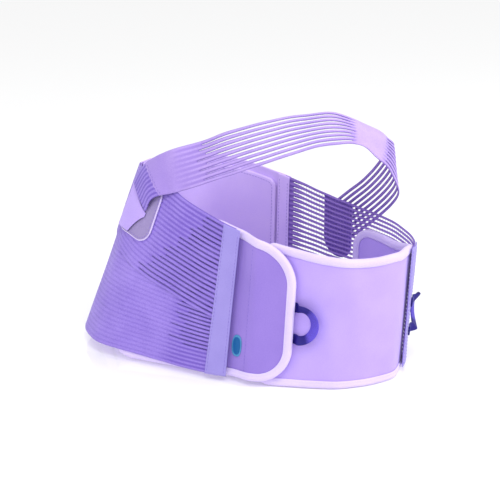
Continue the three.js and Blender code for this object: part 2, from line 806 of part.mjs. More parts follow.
const strapRows = ribShares(STRAP_GAPS, STRAP_GAP_SHARE);
const isStrapGap = (i, k) => {
  const front = i >= STRAP_FRONT_RIBS.from && i < STRAP_FRONT_RIBS.to;
  const rear = i >= STRAP_REAR_RIBS.from && i < STRAP_REAR_RIBS.to;
  return k % 2 === 1 && (front || rear);
};
addPiece(
  'belly_strap',
  sheetGeometry(
    STRAP_STEPS,
    strapRows.length - 1,
    (i, k, side) => strapPoint(i / STRAP_STEPS, strapRows[k], side),
    isStrapGap,
  ),
  MATERIALS.strap,
);

// Pull loops: webbing bent to a D, its two legs held flat under the tab's end or on the tape, its
// bend turned on edge
function loopGeometry(root, direction, height, face) {
  const halfBand = LOOP_BAND / 2;
  const arm = LOOP_HEIGHT / 2 - LOOP_STAND;
  const straight = LOOP_REACH - LOOP_BAND;
  const bendSteps = 10;
  const path = [
    { reach: -LOOP_BAND, rise: arm, turn: 0 },
    { reach: CLEARANCE, rise: arm, turn: 0 },
  ];
  for (let i = 0; i <= bendSteps; i += 1) {
    const angle = (i / bendSteps) * Math.PI;
    path.push({
      reach: straight * LOOP_LEG_SHARE * (1 + 2 * Math.sin(angle)),
      rise: arm * Math.cos(angle),
      turn: angle,
    });
  }
  path.push({ reach: CLEARANCE, rise: -arm, turn: Math.PI });
  path.push({ reach: -LOOP_BAND, rise: -arm, turn: Math.PI });
  const rings = path.map(({ reach, rise, turn }) => {
    const up = ease(reach, CLEARANCE, LOOP_TURN_LENGTH);
    const tilt = THREE.MathUtils.degToRad(LOOP_TILT * up);
    const corner = (side, skin) => {
      const across = side * halfBand;
      const deep = skin * LOOP_THICKNESS / 2;
      const inWall = across * Math.cos(tilt) - deep * Math.sin(tilt);
      const off = across * Math.sin(tilt) + deep * Math.cos(tilt);
      const along = root + direction * (reach + inWall * Math.sin(turn));
      const level = height + rise + inWall * Math.cos(turn);
      return wallPoint(along, level, face(along) + LOOP_THICKNESS / 2 + LOOP_STAND * up + off);
    };
    return [corner(-1, -1), corner(1, -1), corner(1, 1), corner(-1, 1)];
  });
  return sweptGeometry(rings, false);
}
const panelFace = PANEL_THICKNESS / 2 + 3 * CLEARANCE;
addPiece('left_pull_loop', loopGeometry(tabEnd, 1, PULL_HEIGHT, () => panelFace), MATERIALS.loop);
const rightLoopFace = rightTapeFace + TAPE_THICKNESS + CLEARANCE;
addPiece(
  'right_pull_loop',
  loopGeometry(rightTape.to, 1, PULL_HEIGHT - LOOP_BAND, () => rightLoopFace),
  MATERIALS.loop,
);

// Small blank oval patch beside the left tape
const PATCH_SIDES = 12;
const patchAlong = leftTape.to + PATCH_DISTANCE;
const PATCH_TIP_SHARE = 0.15;
function patchPoint(i, k, side) {
  const angle = Math.PI * (1 - i / PATCH_SIDES);
  const along = patchAlong + (Math.cos(angle) * PATCH_WIDTH) / 2;
  const half = Math.max(Math.sin(angle), PATCH_TIP_SHARE) * (PATCH_HEIGHT / 2);
  const face = tabMiddle(along) + PANEL_THICKNESS / 2 + CLEARANCE;
  return wallPoint(along, PATCH_PLACE_HEIGHT + (k === 0 ? -half : half), face + side * PATCH_THICKNESS);
}
addPiece('blank_patch', sheetGeometry(PATCH_SIDES, 1, patchPoint), MATERIALS.patch);

// The origin at the middle of the base
const box = new THREE.Box3().setFromObject(belt);
const shift = new THREE.Vector3(-(box.min.x + box.max.x) / 2, -(box.min.y + box.max.y) / 2, -box.min.z);
belt.children.forEach((mesh) => mesh.geometry.translate(shift.x, shift.y, shift.z));

export default belt;
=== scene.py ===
"""Looks of a maternity support belt, closed into a ring and standing on a pale floor.

Lengths are in millimetres along the belt's wall, like the solids' own, and become metres in a mesh.
"""
import math
from collections import namedtuple

import bmesh
import bpy
import numpy as np
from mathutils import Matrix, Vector


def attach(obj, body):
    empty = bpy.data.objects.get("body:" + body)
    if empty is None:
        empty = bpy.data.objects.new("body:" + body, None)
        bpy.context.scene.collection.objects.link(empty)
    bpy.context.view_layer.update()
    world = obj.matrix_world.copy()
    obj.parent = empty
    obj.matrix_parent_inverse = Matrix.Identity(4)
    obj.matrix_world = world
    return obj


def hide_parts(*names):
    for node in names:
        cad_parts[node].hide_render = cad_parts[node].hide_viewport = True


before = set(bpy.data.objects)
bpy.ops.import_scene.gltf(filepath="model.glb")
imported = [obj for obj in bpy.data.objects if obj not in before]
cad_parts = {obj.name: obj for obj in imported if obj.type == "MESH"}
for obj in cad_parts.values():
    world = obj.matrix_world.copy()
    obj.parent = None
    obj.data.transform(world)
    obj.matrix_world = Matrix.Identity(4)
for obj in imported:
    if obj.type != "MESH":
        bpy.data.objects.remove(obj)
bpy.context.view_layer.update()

MM = 0.001
SEED = 7

# The ring as it stands
RING_WIDTH = 305
RING_DEPTH = 275
SIDE_HEIGHT = 195
HOOP_HEIGHT = 267

# The ring's own origin in the part's frame
ORIGIN = (-7.028, 3.449, 0.363)

# Cloth layers
PANEL_THICKNESS = 3.4
ELASTIC_THICKNESS = 1.5
CROSS_THICKNESS = 1.2
TAPE_THICKNESS = 1.4
BINDING_THICKNESS = 1
BINDING_WIDTH = 8
BACK_THICKNESS = 1.6
LINING_THICKNESS = 3.4
STRAP_THICKNESS = 1.8
HOOK_THICKNESS = 2.4
FLAP_THICKNESS = 1.4
CLEARANCE = 0.3
FOLD_CLEARANCE = 0.6
EDGE_MARGIN = 2

# Lengths along the wall from the middle of the closure
CLOSURE_LENGTH = 215
TAPE_WIDTH = 21
TAB_OVERLAP = 66
TAB_REACH_BEHIND = 102
PANEL_REACH_BEHIND = 103
BACK_LENGTH = 224
SEAM_WIDTH = 15
SEAM_OVERLAP = 6
LINING_MARGIN = 18
CLOSURE_OFFSET = -9
TAB_SEAM_DISTANCE = 17.85

# Share of the tab's overlap before the front panel starts, and of a tape's width left free of elastic
PANEL_START_SHARE = 0.45
TAPE_FREE_SHARE = 0.3

# How far pads stand out at their middle, as a share of their thickness, and how far in from the edge
PAD_CROWN = 0.15
LINING_CROWN = 0.06
CROWN_REACH = 22

# Corners and heights
TAB_CORNER = 36
REACH_CORNER = 26
PANEL_CORNER = 12
TAB_LIFT = 4
ELASTIC_LIFT = 11
REACH_DROP = 18
REACH_DROP_LENGTH = 76
LINING_DROP = 9
PULL_HEIGHT = 67

# Ribs
RIGHT_GAPS = 29
LEFT_GAPS = 38
LEFT_CLOSED_GAPS = 4
CROSS_GAPS = 19
STRAP_GAPS = 8
RIGHT_GAP_SHARE = 0.42
LEFT_GAP_SHARE = 0.3
CROSS_GAP_SHARE = 0.32
STRAP_GAP_SHARE = 0.36
CROSS_LOW_AT_TAPE = 56
CROSS_LOW_AT_BACK = 122
LEFT_OPEN_LENGTH = 36
CROSS_OPEN_AT_FOOT = 98
CROSS_OPEN_AT_RIM = 18
END_BAND = 5
RIB_STEP = 2.4
RIB_END_RADIUS = 1.2
RIB_WANDER = 0.06
THREAD_PITCH = 3.6
THREAD_RADIUS = 0.16

# A rib's section: share of its width, and share of the full thickness there
RIB_PROFILE = ((0.0, 0.45), (0.16, 0.85), (0.5, 1.0), (0.84, 0.85))

# Stitches
STITCH_LENGTH = 2.7
STITCH_GAP = 1
STITCH_RADIUS = 0.3
SEAM_STITCH_RADIUS = 0.26
FINE_STITCH_RADIUS = 0.25
TAPE_SEAM = 2.2
BACK_SEAM = 3.2
HOOK_SEAM = 2.5
LINING_SEAM = 4.2

# A stitch's form: share of its length, and its girth and lift there as shares of its radius
STITCH_PROFILE = ((0, 0.4, -0.5), (0.2, 0.9, 0.25), (0.5, 1, 0.5), (0.8, 0.9, 0.25), (1, 0.4, -0.5))

# Belly strap
STRAP_WIDTH = 44
STRAP_BULGE = 1.5
STRAP_COLUMNS = 260
STRAP_END_SCALE = 700
RIGHT_TAB_WIDTH = 36
RIGHT_TAB_CORNER_SHARE = 0.48
RIGHT_TAB_DROP = 66
RIGHT_TAB_PLACE = 238
LEFT_TAB_WIDTH = 62
LEFT_TAB_LENGTH = 63
LEFT_TAB_PLACE = -255
LEFT_TAB_CORNER = 16
FLAP_CURL = 0.8
FLAP_TIP = 8
FLAP_CORNER_LENGTH = 19

# Stretches of the strap as shares of its length, from its left end
FRONT_RIBS = (0.27, 0.575)
REAR_RIBS = (0.683, 0.968)
FRONT_OPENING = (0.24, 0.42)
REAR_CLOSING = (0.955, 0.975)
SMOOTH_FROM = 0.07
SMOOTH_SLANT = 0.026
LEFT_SEAM_STEP = 0.006
RIGHT_SEAM = 0.985

# Two points of each edge at the strap's ends: length along the wall, height, distance off the tab
LEFT_END_LOW = ((-238, 150, 0), (-230, 162, 2))
LEFT_END_HIGH = ((-278, 170, 0), (-269, 194, 2))
RIGHT_END_LOW = ((212, 118, 5), (234, 98, 0))
RIGHT_END_HIGH = ((235, 154, 2), (256, 136, 0))

# Pull loops and patch
LOOP_BAND = 10
LOOP_THICKNESS = 1.7
LOOP_HEIGHT = 42
LOOP_REACH = 25
LOOP_STAND = 5
LOOP_TILT = 38
LOOP_TURN_LENGTH = 6
LOOP_LEG_SHARE = 0.45
PATCH_WIDTH = 12
PATCH_HEIGHT = 22
PATCH_THICKNESS = 0.8
PATCH_FULLNESS = 0.8
PATCH_PLACE_HEIGHT = 36
PATCH_FROM_TAPE = 7.2

# Slow waves of the cloth: size, waves round the ring, height of one radian, start
WAVES = ((0.55, 6, 52, 0), (0.35, 14, -33, 1.1), (0.2, 27, 21, 0.4))

# Foot x, y and rim x, y as shares of half the ring, and rim height as a share
STATIONS = np.array([
    (0.38, -1.0, 0.43, -1.03, 0.697),
    (0.78, -0.95, 0.8, -1.02, 0.697),
    (1.0, -0.66, 1.01, -0.75, 0.697),
    (0.97, -0.26, 0.98, -0.32, 0.728),
    (0.73, 0.16, 0.72, 0.12, 0.779),
    (0.39, 0.61, 0.41, 0.57, 0.862),
    (-0.02, 0.94, 0.07, 0.91, 0.915),
    (-0.53, 1.0, -0.33, 0.89, 0.93),
    (-0.97, 0.7, -0.56, 0.58, 0.95),
    (-1.0, 0.15, -0.51, 0.16, 0.945),
    (-0.58, -0.34, -0.32, -0.24, 0.846),
    (-0.13, -0.73, -0.03, -0.62, 0.754),
])

# Sections of the free belly strap: low and high edge, as shares of the ring and the hoop's height
STRAP_SECTIONS = np.array([
    (-0.487, -0.03, 0.66, -0.525, 0.15, 0.776),
    (-0.41, -0.08, 0.676, -0.44, 0.02, 0.814),
    (-0.28, -0.18, 0.717, -0.28, -0.07, 0.841),
    (-0.13, -0.34, 0.757, -0.14, -0.22, 0.9),
    (0.03, -0.55, 0.813, 0.04, -0.38, 0.951),
    (0.24, -0.76, 0.88, 0.27, -0.52, 0.989),
    (0.44, -0.87, 0.914, 0.48, -0.6, 1.0),
    (0.59, -0.87, 0.906, 0.68, -0.58, 0.955),
    (0.75, -0.8, 0.835, 0.86, -0.53, 0.895),
    (0.91, -0.62, 0.745, 0.96, -0.42, 0.83),
    (1.01, -0.4, 0.635, 0.91, -0.34, 0.775),
    (1.02, -0.18, 0.539, 0.84, -0.14, 0.682),
])

# Cloths: light colour and darker colour as the eye sees them, 0 to 255, the darker one used for painted
# shade and for mottle, roughness, sheen, lengths of one thread along and across, shift of the rows, depth
# of the weave, and how much grain and mottle change the tone
CLOTHS = {
    "panel_cloth": ((194, 169, 246), (177, 151, 236), 0.85, 0.25, 0.9, 0.9, 0.6, 0.4, 0.35, 0.45),
    "binding_cloth": ((228, 212, 255), (208, 190, 244), 0.7, 0.2, 0.8, 1.3, 0, 0.4, 0.35, 0.45),
    "tab_cloth": ((157, 131, 218), (138, 113, 204), 0.85, 0.25, 0.9, 0.9, 0.6, 0.4, 0.35, 0.45),
    "elastic_cloth": ((170, 146, 234), (118, 92, 194), 0.75, 0.2, 1.1, 1.7, 0.8, 0.6, 0.5, 0.3),
    "elastic_inside": ((180, 150, 226), (126, 98, 182), 0.85, 0.1, 1.1, 1.7, 0.8, 0.6, 0.35, 0.45),
    "tape_cloth": ((163, 150, 223), (141, 128, 208), 0.6, 0.15, 1.4, 0.8, 0, 0.5, 0.35, 0.45),
    "lining_cloth": ((224, 200, 255), (206, 180, 252), 0.9, 0.3, 1.2, 1.2, 0.8, 0.4, 0.35, 0.45),
    "back_cloth": ((163, 150, 223), (141, 128, 208), 0.8, 0.2, 1.2, 1.6, 1, 0.4, 0.35, 0.2),
    "strap_cloth": ((205, 178, 243), (160, 134, 216), 0.75, 0.2, 1.2, 1.1, 0.4, 0.4, 0.35, 0.45),
    "hook_cloth": ((168, 153, 200), (128, 111, 174), 0.95, 0.1, 1.6, 1.6, 0, 0.9, 0.35, 0.45),
    "dark_hook_cloth": ((150, 120, 214), (112, 84, 178), 0.95, 0.1, 1.6, 1.6, 0, 0.9, 0.35, 0.45),
    "loop_cloth": ((112, 92, 230), (32, 20, 122), 0.55, 0, 0.9, 2.2, 0, 0.4, 0.35, 0.45),
    "patch_cloth": ((98, 170, 214), (22, 98, 162), 0.35, 0, 0.7, 0.7, 0, 0.2, 0.35, 0.45),
    "pale_thread": ((226, 212, 252), (208, 190, 244), 0.5, 0.1, 0.4, 0.6, 0, 0.4, 0.35, 0.45),
    "violet_thread": ((140, 118, 208), (118, 92, 194), 0.5, 0.1, 0.4, 0.6, 0, 0.4, 0.35, 0.45),
}

# The camera's place from the ring's origin, and the way that it looks
CAMERA_PLACE = np.array((-377.0, -1451.9, 579.8))
CAMERA_AHEAD = (0.2468, 0.9212, -0.3007)
CAMERA_SENSOR = 36
CAMERA_LENS = 108

# Lights: name, place, target and width in metres, power in watts
LIGHTS = (
    ("key", (1.7, -1.2, 1.3), (0.0, 0.0, 0.1), 0.8, 22),
    ("fill", (-1.6, -0.9, 1.1), (0.0, 0.0, 0.1), 1.4, 7),
    ("top", (-0.1, -1.1, 1.7), (0.0, 0.1, 0.15), 0.8, 10),
)
WORLD_LIGHT = 0.83
FLOOR_REACH = 30
FLOOR_DROP = 0.0006
FLOOR_COLOUR = (0.94, 0.94, 0.945, 1)

half_width = RING_WIDTH / 2
half_depth = RING_DEPTH / 2


# Curves

def cubic_between(p1, p2, leave, arrive, w):
    """The curve from p1 to p2 that has these slopes at its ends."""
    cubic = 2 * p1 - 2 * p2 + leave + arrive
    square = -3 * p1 + 3 * p2 - 2 * leave - arrive
    return ((cubic * w + square) * w + leave) * w + p1


def closed_spline(points, share):
    count = len(points)
    place = np.asarray(share) * count
    index = np.floor(place).astype(int)
    w = (place - index)[..., None]
    p0, p1, p2, p3 = (points[(index + step) % count] for step in (-1, 0, 1, 2))
    return cubic_between(p1, p2, (p2 - p0) / 2, (p3 - p1) / 2, w)


def open_spline(points, share):
    """A curve through points whose knots are spaced by the root of their distances."""
    points = np.vstack([2 * points[0] - points[1], points, 2 * points[-1] - points[-2]])
    spans = len(points) - 3
    place = np.clip(np.asarray(share) * spans, 0, spans)
    index = np.minimum(np.floor(place).astype(int), spans - 1)
    w = (place - index)[..., None]
    p0, p1, p2, p3 = (points[index + step] for step in range(4))
    d0, d1, d2 = (
        np.sqrt(np.linalg.norm(b - a, axis=-1, keepdims=True)) for a, b in ((p0, p1), (p1, p2), (p2, p3))
    )
    leave = ((p1 - p0) / d0 - (p2 - p0) / (d0 + d1) + (p2 - p1) / d1) * d1
    arrive = ((p2 - p1) / d1 - (p3 - p1) / (d1 + d2) + (p3 - p2) / d2) * d1
    return cubic_between(p1, p2, leave, arrive, w)


def unit(vectors):
    return vectors / np.linalg.norm(vectors, axis=-1, keepdims=True)


def ramp(value, start, end):
    return np.clip((np.asarray(value, float) - start) / (end - start), 0, 1)


def ease(value, start, end):
    x = ramp(value, start, end)
    return x * x * (3 - 2 * x)


def mix(start, end, share):
    return start + (end - start) * share


def signed_power(wave, power):
    """A wave drawn out to a fuller or leaner form, with its sign kept."""
    return np.sign(wave) * np.abs(wave) ** power


def run_along(points):
    """The length of the line through points, at each of them."""
    steps = np.linalg.norm(np.diff(points, axis=0), axis=1)
    return np.concatenate([[0], np.cumsum(steps)])


def rings_round(line, side, up, radius, count):
    """A ring of points round each point of a line."""
    angles = np.arange(count) * 2 * math.pi / count
    rounds = np.cos(angles)[None, :, None] * side[:, None] + np.sin(angles)[None, :, None] * up[:, None]
    return line[:, None] + rounds * np.broadcast_to(radius, len(line))[:, None, None]


# The wall

FINE = 1440
FACETS = 36
foot_points = np.column_stack([STATIONS[:, :2] * (half_width, half_depth), np.zeros(len(STATIONS))])
rim_points = STATIONS[:, 2:] * (half_width, half_depth, SIDE_HEIGHT)
fine_shares = np.arange(FINE) / FINE
foot_line = closed_spline(foot_points, fine_shares)
rim_line = closed_spline(rim_points, fine_shares)
middle_line = (foot_line + rim_line) / 2
tangent_line = unit(np.roll(middle_line, -1, 0) - np.roll(middle_line, 1, 0))
outward_line = unit(np.cross(tangent_line, unit(rim_line - foot_line)))
facet_middles = middle_line[:: FINE // FACETS]
facet_starts = run_along(np.vstack([facet_middles, facet_middles[:1]]))
RING_LENGTH = facet_starts[-1]


def at_line(line, along):
    share = np.interp(np.mod(along, RING_LENGTH), facet_starts, np.arange(FACETS + 1) / FACETS)
    place = share * FINE
    index = np.floor(place).astype(int)
    w = (place - index)[..., None]
    return line[index % FINE] * (1 - w) + line[(index + 1) % FINE] * w


def rim_height(along):
    return at_line(rim_line, along)[..., 2]


def sway(along, height):
    """Slow waves of the cloth that every layer of the wall shares."""
    turn = 2 * math.pi * np.asarray(along) / RING_LENGTH
    height = np.asarray(height)
    return sum(size * np.sin(count * turn + height / rise + start) for size, count, rise, start in WAVES)


def wall(along, height, out):
    """Points of the wall from length along it, height and distance outwards."""
    along, height, out = np.broadcast_arrays(
        np.asarray(along, float), np.asarray(height, float), np.asarray(out, float)
    )
    foot = at_line(foot_line, along)
    rim = at_line(rim_line, along)
    outward = at_line(outward_line, along)
    rise = (height / rim[..., 2])[..., None]
    return foot + (rim - foot) * rise + outward * (out + sway(along, height))[..., None]


def constant(value):
    """The same value at every length along the wall."""
    return lambda along: np.full_like(along, value)


def under_rim(drop):
    """The line at this distance below the rim."""
    return lambda along: rim_height(along) - drop


# Meshes

def new_object(name, data):
    made = bpy.data.objects.new(name, data)
    bpy.context.scene.collection.objects.link(made)
    return made


class Piece:
    """Closed surfaces gathered into one mesh, each with flat coordinates, a material number and a painted
    light at each point.
    """

    def __init__(self, name):
        self.name = name
        self.points = []
        self.flats = []
        self.faces = []
        self.kinds = []
        self.painted_lights = []
        self.count = 0

    def add(self, points, flats, faces, kinds, painted_light=None):
        if painted_light is None:
            painted_light = np.ones(len(points))
        used, faces = np.unique(faces, return_inverse=True)
        faces = faces.reshape(-1, 4) + self.count
        self.points.append(points[used])
        self.flats.append(flats[used])
        self.faces.append(faces)
        self.kinds.append(kinds)
        self.painted_lights.append(painted_light[used])
        self.count += len(used)

    def sheet(self, place, flat, swell, solid=None, outer_kind=0, inner_kind=0, painted_light=None):
        """A closed sheet. place(side) gives its grid of points at a share of the half thickness.

        The last argument is painted light: 1 on a crest and less in a groove, where it paints shade on the
        cloth.
        """
        columns, rows = swell.shape
        if solid is None:
            solid = np.ones((columns - 1, rows - 1), bool)
        framed = np.pad(solid, 1)
        inside = framed[:-1, :-1] & framed[1:, :-1] & framed[:-1, 1:] & framed[1:, 1:]
        swell = np.where(inside, swell, 0)
        size = columns * rows
        outer = np.arange(size).reshape(columns, rows)
        inner = np.where(inside, outer + size, outer)
        points = np.concatenate([place(swell).reshape(-1, 3), place(-swell).reshape(-1, 3)])
        flats = np.concatenate([flat.reshape(-1, 2)] * 2)
        i, k = np.nonzero(solid)
        front = np.column_stack([outer[i, k], outer[i + 1, k], outer[i + 1, k + 1], outer[i, k + 1]])
        rear = np.column_stack([inner[i, k], inner[i, k + 1], inner[i + 1, k + 1], inner[i + 1, k]])
        kinds = np.concatenate([
            np.broadcast_to(outer_kind, solid.shape)[i, k], np.broadcast_to(inner_kind, solid.shape)[i, k]
        ])
        if painted_light is not None:
            painted_light = np.concatenate([np.broadcast_to(painted_light, swell.shape).ravel()] * 2)
        self.add(points, flats, np.concatenate([front, rear]), kinds, painted_light)

    def sweep(self, rings, kind=0, closed=False, painted_light=None):
        """A tube through rings of points, closed on itself or with its end rings drawn to a point."""
        if painted_light is not None and not closed:
            painted_light = np.concatenate([painted_light[:1], painted_light, painted_light[-1:]])
        if not closed:
            first = np.repeat(rings[:1].mean(1, keepdims=True), rings.shape[1], 1)
            last = np.repeat(rings[-1:].mean(1, keepdims=True), rings.shape[1], 1)
            rings = np.concatenate([first, rings, last])
        count, size = rings.shape[:2]
        index = np.arange(count * size).reshape(count, size)
        if not closed:
            index[0] = index[0, 0]
            index[-1] = index[-1, 0]
        after = np.roll(index, -1, 0) if closed else index[1:]
        here = index if closed else index[:-1]
        quads = np.stack([here, after, np.roll(after, -1, 1), np.roll(here, -1, 1)], -1).reshape(-1, 4)
        girth = np.linalg.norm(np.roll(rings, -1, 1) - rings, axis=-1)
        around = np.cumsum(girth, 1) - girth
        flats = np.stack([np.repeat(run_along(rings.mean(1))[:, None], size, 1), around], -1)
        if painted_light is not None:
            painted_light = np.repeat(painted_light, size)
        self.add(rings.reshape(-1, 3), flats.reshape(-1, 2), quads, np.full(len(quads), kind), painted_light)

    def make(self, materials):
        points = (np.concatenate(self.points) + ORIGIN) * MM
        flats = np.concatenate(self.flats) * MM
        faces = [tuple(dict.fromkeys(face)) for face in np.concatenate(self.faces).tolist()]
        mesh = bpy.data.meshes.new(self.name)
        mesh.from_pydata(points.tolist(), [], faces)
        layer = mesh.uv_layers.new(name="cloth")
        corners = np.empty(len(mesh.loops), int)
        mesh.loops.foreach_get("vertex_index", corners)
        layer.data.foreach_set("uv", flats[corners].ravel())
        painted_light = mesh.attributes.new("painted_light", "FLOAT", "POINT")
        painted_light.data.foreach_set("value", np.concatenate(self.painted_lights).astype(np.float32))
        mesh.polygons.foreach_set("material_index", np.concatenate(self.kinds).astype(np.int32))
        for material in materials:
            mesh.materials.append(material)
        shape = bmesh.new()
        shape.from_mesh(mesh)
        bmesh.ops.recalc_face_normals(shape, faces=shape.faces)
        shape.to_mesh(mesh)
        shape.free()
        mesh.shade_smooth()
        return new_object(self.name, mesh)


def edge_swell(distance, radius):
    """Share of the half thickness that a rounded edge has at a distance from it."""
    inward = 1 - np.clip(distance / radius, 0, 1)
    return np.sqrt(np.clip(1 - inward * inward, 0, 1))


def edge_distance(lengths, height):
    """Distance of each point of a sheet from its nearest edge."""
    ends = np.minimum(lengths - lengths[0], lengths[-1] - lengths)[:, None]
    return np.minimum(ends, np.minimum(height - height[:, :1], height[:, -1:] - height))


def edged_lengths(start, end, step, radius):
    """Even lengths between two ends, closer together near both."""
    near = radius * np.array([0, 0.12, 0.35, 0.7])
    count = max(3, int(round((end - start - 2 * radius) / step)) + 1)
    even = np.linspace(start + radius, end - radius, count)
    return np.concatenate([start + near, even, end - near[::-1]])


# Stitches

def stitch_row(piece, points, outward, kind, radius):
    """A row of short raised threads along a line of points."""
    run = run_along(points)
    pitch = STITCH_LENGTH + STITCH_GAP
    shares, girths, lifts = np.array(STITCH_PROFILE).T
    for number in range(int(run[-1] // pitch)):
        places = number * pitch + shares * STITCH_LENGTH
        line = np.column_stack([np.interp(places, run, points[:, axis]) for axis in range(3)])
        up = unit(np.column_stack([np.interp(places, run, outward[:, axis]) for axis in range(3)]))
        side = unit(np.cross(up, unit(line[-1] - line[0])))
        centre = line + up * radius * lifts[:, None]
        piece.sweep(rings_round(centre, side, up, radius * girths, 6), kind)


def wall_stitches(piece, along, height, out, turn, radius):
    """Stitches along a line of the wall, raised outwards where turn is 1 and inwards where it is -1."""
    here = wall(along, height, out)
    stitch_row(piece, here, wall(along, height, out + turn) - here, 1, radius)


def loop_stitches(piece, loop, inward, distance, middle, stand, turn, radius=SEAM_STITCH_RADIUS):
    """Stitches inside an outline, at a distance from it, on a face that stands off the middle."""
    along, height = (loop + distance * inward).T
    wall_stitches(piece, along, height, middle(along) + turn * stand, turn, radius)


def wall_sheet(
    piece, along, height, middle, thickness, swell, solid=None, outer_kind=0, inner_kind=0, painted_light=None
):
    def place(side):
        return wall(along, height, middle + side * thickness / 2)

    flat = np.stack(np.broadcast_arrays(along, height), -1)
    piece.sheet(place, flat, swell, solid, outer_kind, inner_kind, painted_light)


# Materials

def set_inputs(node, values):
    for socket, value in values.items():
        node.inputs[socket].default_value = value


def linear(colour):
    shares = np.array(colour) / 255
    values = np.where(shares <= 0.04045, shares / 12.92, ((shares + 0.055) / 1.055) ** 2.4)
    return (*values.tolist(), 1.0)


def cloth(name, light, shade, rough, sheen, warp, weft, knit, depth, grain, mottle):
    """Cloth with a weave across and along it, fine fuzz, slow random changes of tone, and painted shade
    wherever the mesh's painted light is below 1.
    """
    material = bpy.data.materials.new(name)
    material.use_nodes = True
    nodes = material.node_tree.nodes
    links = material.node_tree.links
    shader = nodes["Principled BSDF"]
    set_inputs(shader, {"Roughness": rough, "Sheen Weight": sheen})
    set_inputs(shader, {"Sheen Roughness": 0.45, "Specular IOR Level": 0.3})

    def maths(operation, first, second):
        node = nodes.new("ShaderNodeMath")
        node.operation = operation
        for socket, value in zip(node.inputs, (first, second)):
            if isinstance(value, (int, float)):
                socket.default_value = value
            else:
                links.new(value, socket)
        return node.outputs[0]

    def noise(scale, detail, source):
        node = nodes.new("ShaderNodeTexNoise")
        set_inputs(node, {"Scale": scale, "Detail": detail})
        links.new(source, node.inputs["Vector"])
        return node.outputs["Fac"]

    flat = nodes.new("ShaderNodeUVMap")
    flat.uv_map = "cloth"
    parts = nodes.new("ShaderNodeSeparateXYZ")
    links.new(flat.outputs["UV"], parts.inputs[0])
    space = nodes.new("ShaderNodeTexCoord").outputs["Object"]
    cycle = 2 * math.pi / MM
    across = maths("SINE", maths("MULTIPLY", parts.outputs["Y"], cycle / weft), 0.0)
    run = maths("MULTIPLY", parts.outputs["X"], cycle / warp)
    along = maths("SINE", maths("ADD", run, maths("MULTIPLY", across, knit)), 0.0)
    weave = maths("MULTIPLY", across, along)
    fine = noise(900.0, 3.0, space)
    slow = noise(30.0, 2.0, space)
    height = maths("ADD", maths("MULTIPLY", weave, 0.3), fine)
    # Painted shade: where the mesh's painted light falls below 1, in grooves and shaded parts, the tone
    # moves towards the shade colour.
    painted_light = nodes.new("ShaderNodeAttribute")
    painted_light.attribute_name = "painted_light"
    painted_shade = maths("MULTIPLY", maths("SUBTRACT", painted_light.outputs["Fac"], 1.0), 1.3)
    worn = maths("ADD", maths("MULTIPLY", slow, mottle), maths("MULTIPLY", height, grain))
    tone = maths("ADD", worn, painted_shade)

    colours = nodes.new("ShaderNodeValToRGB")
    for stop, position, colour in zip(colours.color_ramp.elements, (0.05, 0.6), (shade, light)):
        stop.position = position
        stop.color = linear(colour)
    links.new(tone, colours.inputs[0])
    links.new(colours.outputs[0], shader.inputs["Base Color"])

    bump = nodes.new("ShaderNodeBump")
    set_inputs(bump, {"Strength": depth, "Distance": 0.35 * MM})
    links.new(height, bump.inputs["Height"])
    links.new(bump.outputs[0], shader.inputs["Normal"])
    return material


cloths = {name: cloth(name, *values) for name, values in CLOTHS.items()}


def finished(piece, cloth_names, node):
    """The piece's object, which stands for a node of the solids."""
    made = piece.make([cloths[name] for name in cloth_names])
    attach(made, "root")
    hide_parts(node)
    return made


# Places along the wall
left_tape, right_tape = (
    (middle - TAPE_WIDTH / 2, middle + TAPE_WIDTH / 2)
    for middle in (CLOSURE_OFFSET - CLOSURE_LENGTH / 2, CLOSURE_OFFSET + CLOSURE_LENGTH / 2)
)
back_middle = CLOSURE_OFFSET + RING_LENGTH / 2
back_ends = (back_middle - BACK_LENGTH / 2, back_middle + BACK_LENGTH / 2)
tab_end = left_tape[1] + TAB_OVERLAP
tab_reach = left_tape[0] - TAB_REACH_BEHIND
panel_start = left_tape[1] + TAB_OVERLAP * PANEL_START_SHARE
panel_reach = right_tape[1] + PANEL_REACH_BEHIND

# Layers outwards from the inner face of the elastics
binding_stand = BINDING_THICKNESS + FOLD_CLEARANCE
over_elastic = ELASTIC_THICKNESS + CLEARANCE
left_tape_face = over_elastic + CROSS_THICKNESS + CLEARANCE
behind_elastic = -(CLEARANCE + binding_stand + PANEL_THICKNESS / 2)
over_panel = PANEL_THICKNESS + binding_stand + LOOP_THICKNESS + 5 * CLEARANCE


def panel_middle(along):
    return behind_elastic * ramp(along, right_tape[0] - TAPE_WIDTH, right_tape[0])


def tab_middle(along):
    return mix(behind_elastic, over_panel, ease(along, left_tape[1], panel_start - EDGE_MARGIN))


# Rounded padded pieces and their bindings

# The ends of a rounded piece, the radius of its corners there, and its low and high edge
Outline = namedtuple("Outline", "start end start_corner end_corner low high square_top", defaults=[False])


def corner_inset(distance, radius):
    across = np.clip(radius - distance, 0, radius)
    return radius - np.sqrt(radius * radius - across * across)


def rounded_edges(shape, along, inset):
    start_cut = corner_inset(along - shape.start - inset, shape.start_corner - inset)
    end_cut = corner_inset(shape.end - inset - along, shape.end_corner - inset)
    cut = start_cut + end_cut
    high_cut = 0 if shape.square_top else cut
    return shape.low(along) + inset + cut, shape.high(along) - inset - high_cut


def rounded_lengths(shape, inset, step):
    angles = np.linspace(0, math.pi / 2, 14)
    start = shape.start + inset
    end = shape.end - inset
    start_run = (shape.start_corner - inset) * (1 - np.cos(angles))
    end_run = (shape.end_corner - inset) * (1 - np.cos(angles))
    middle = np.arange(start + start_run[-1] + step, end - end_run[-1] - step / 2, step)
    return np.concatenate([start + start_run, middle, (end - end_run)[::-1]])


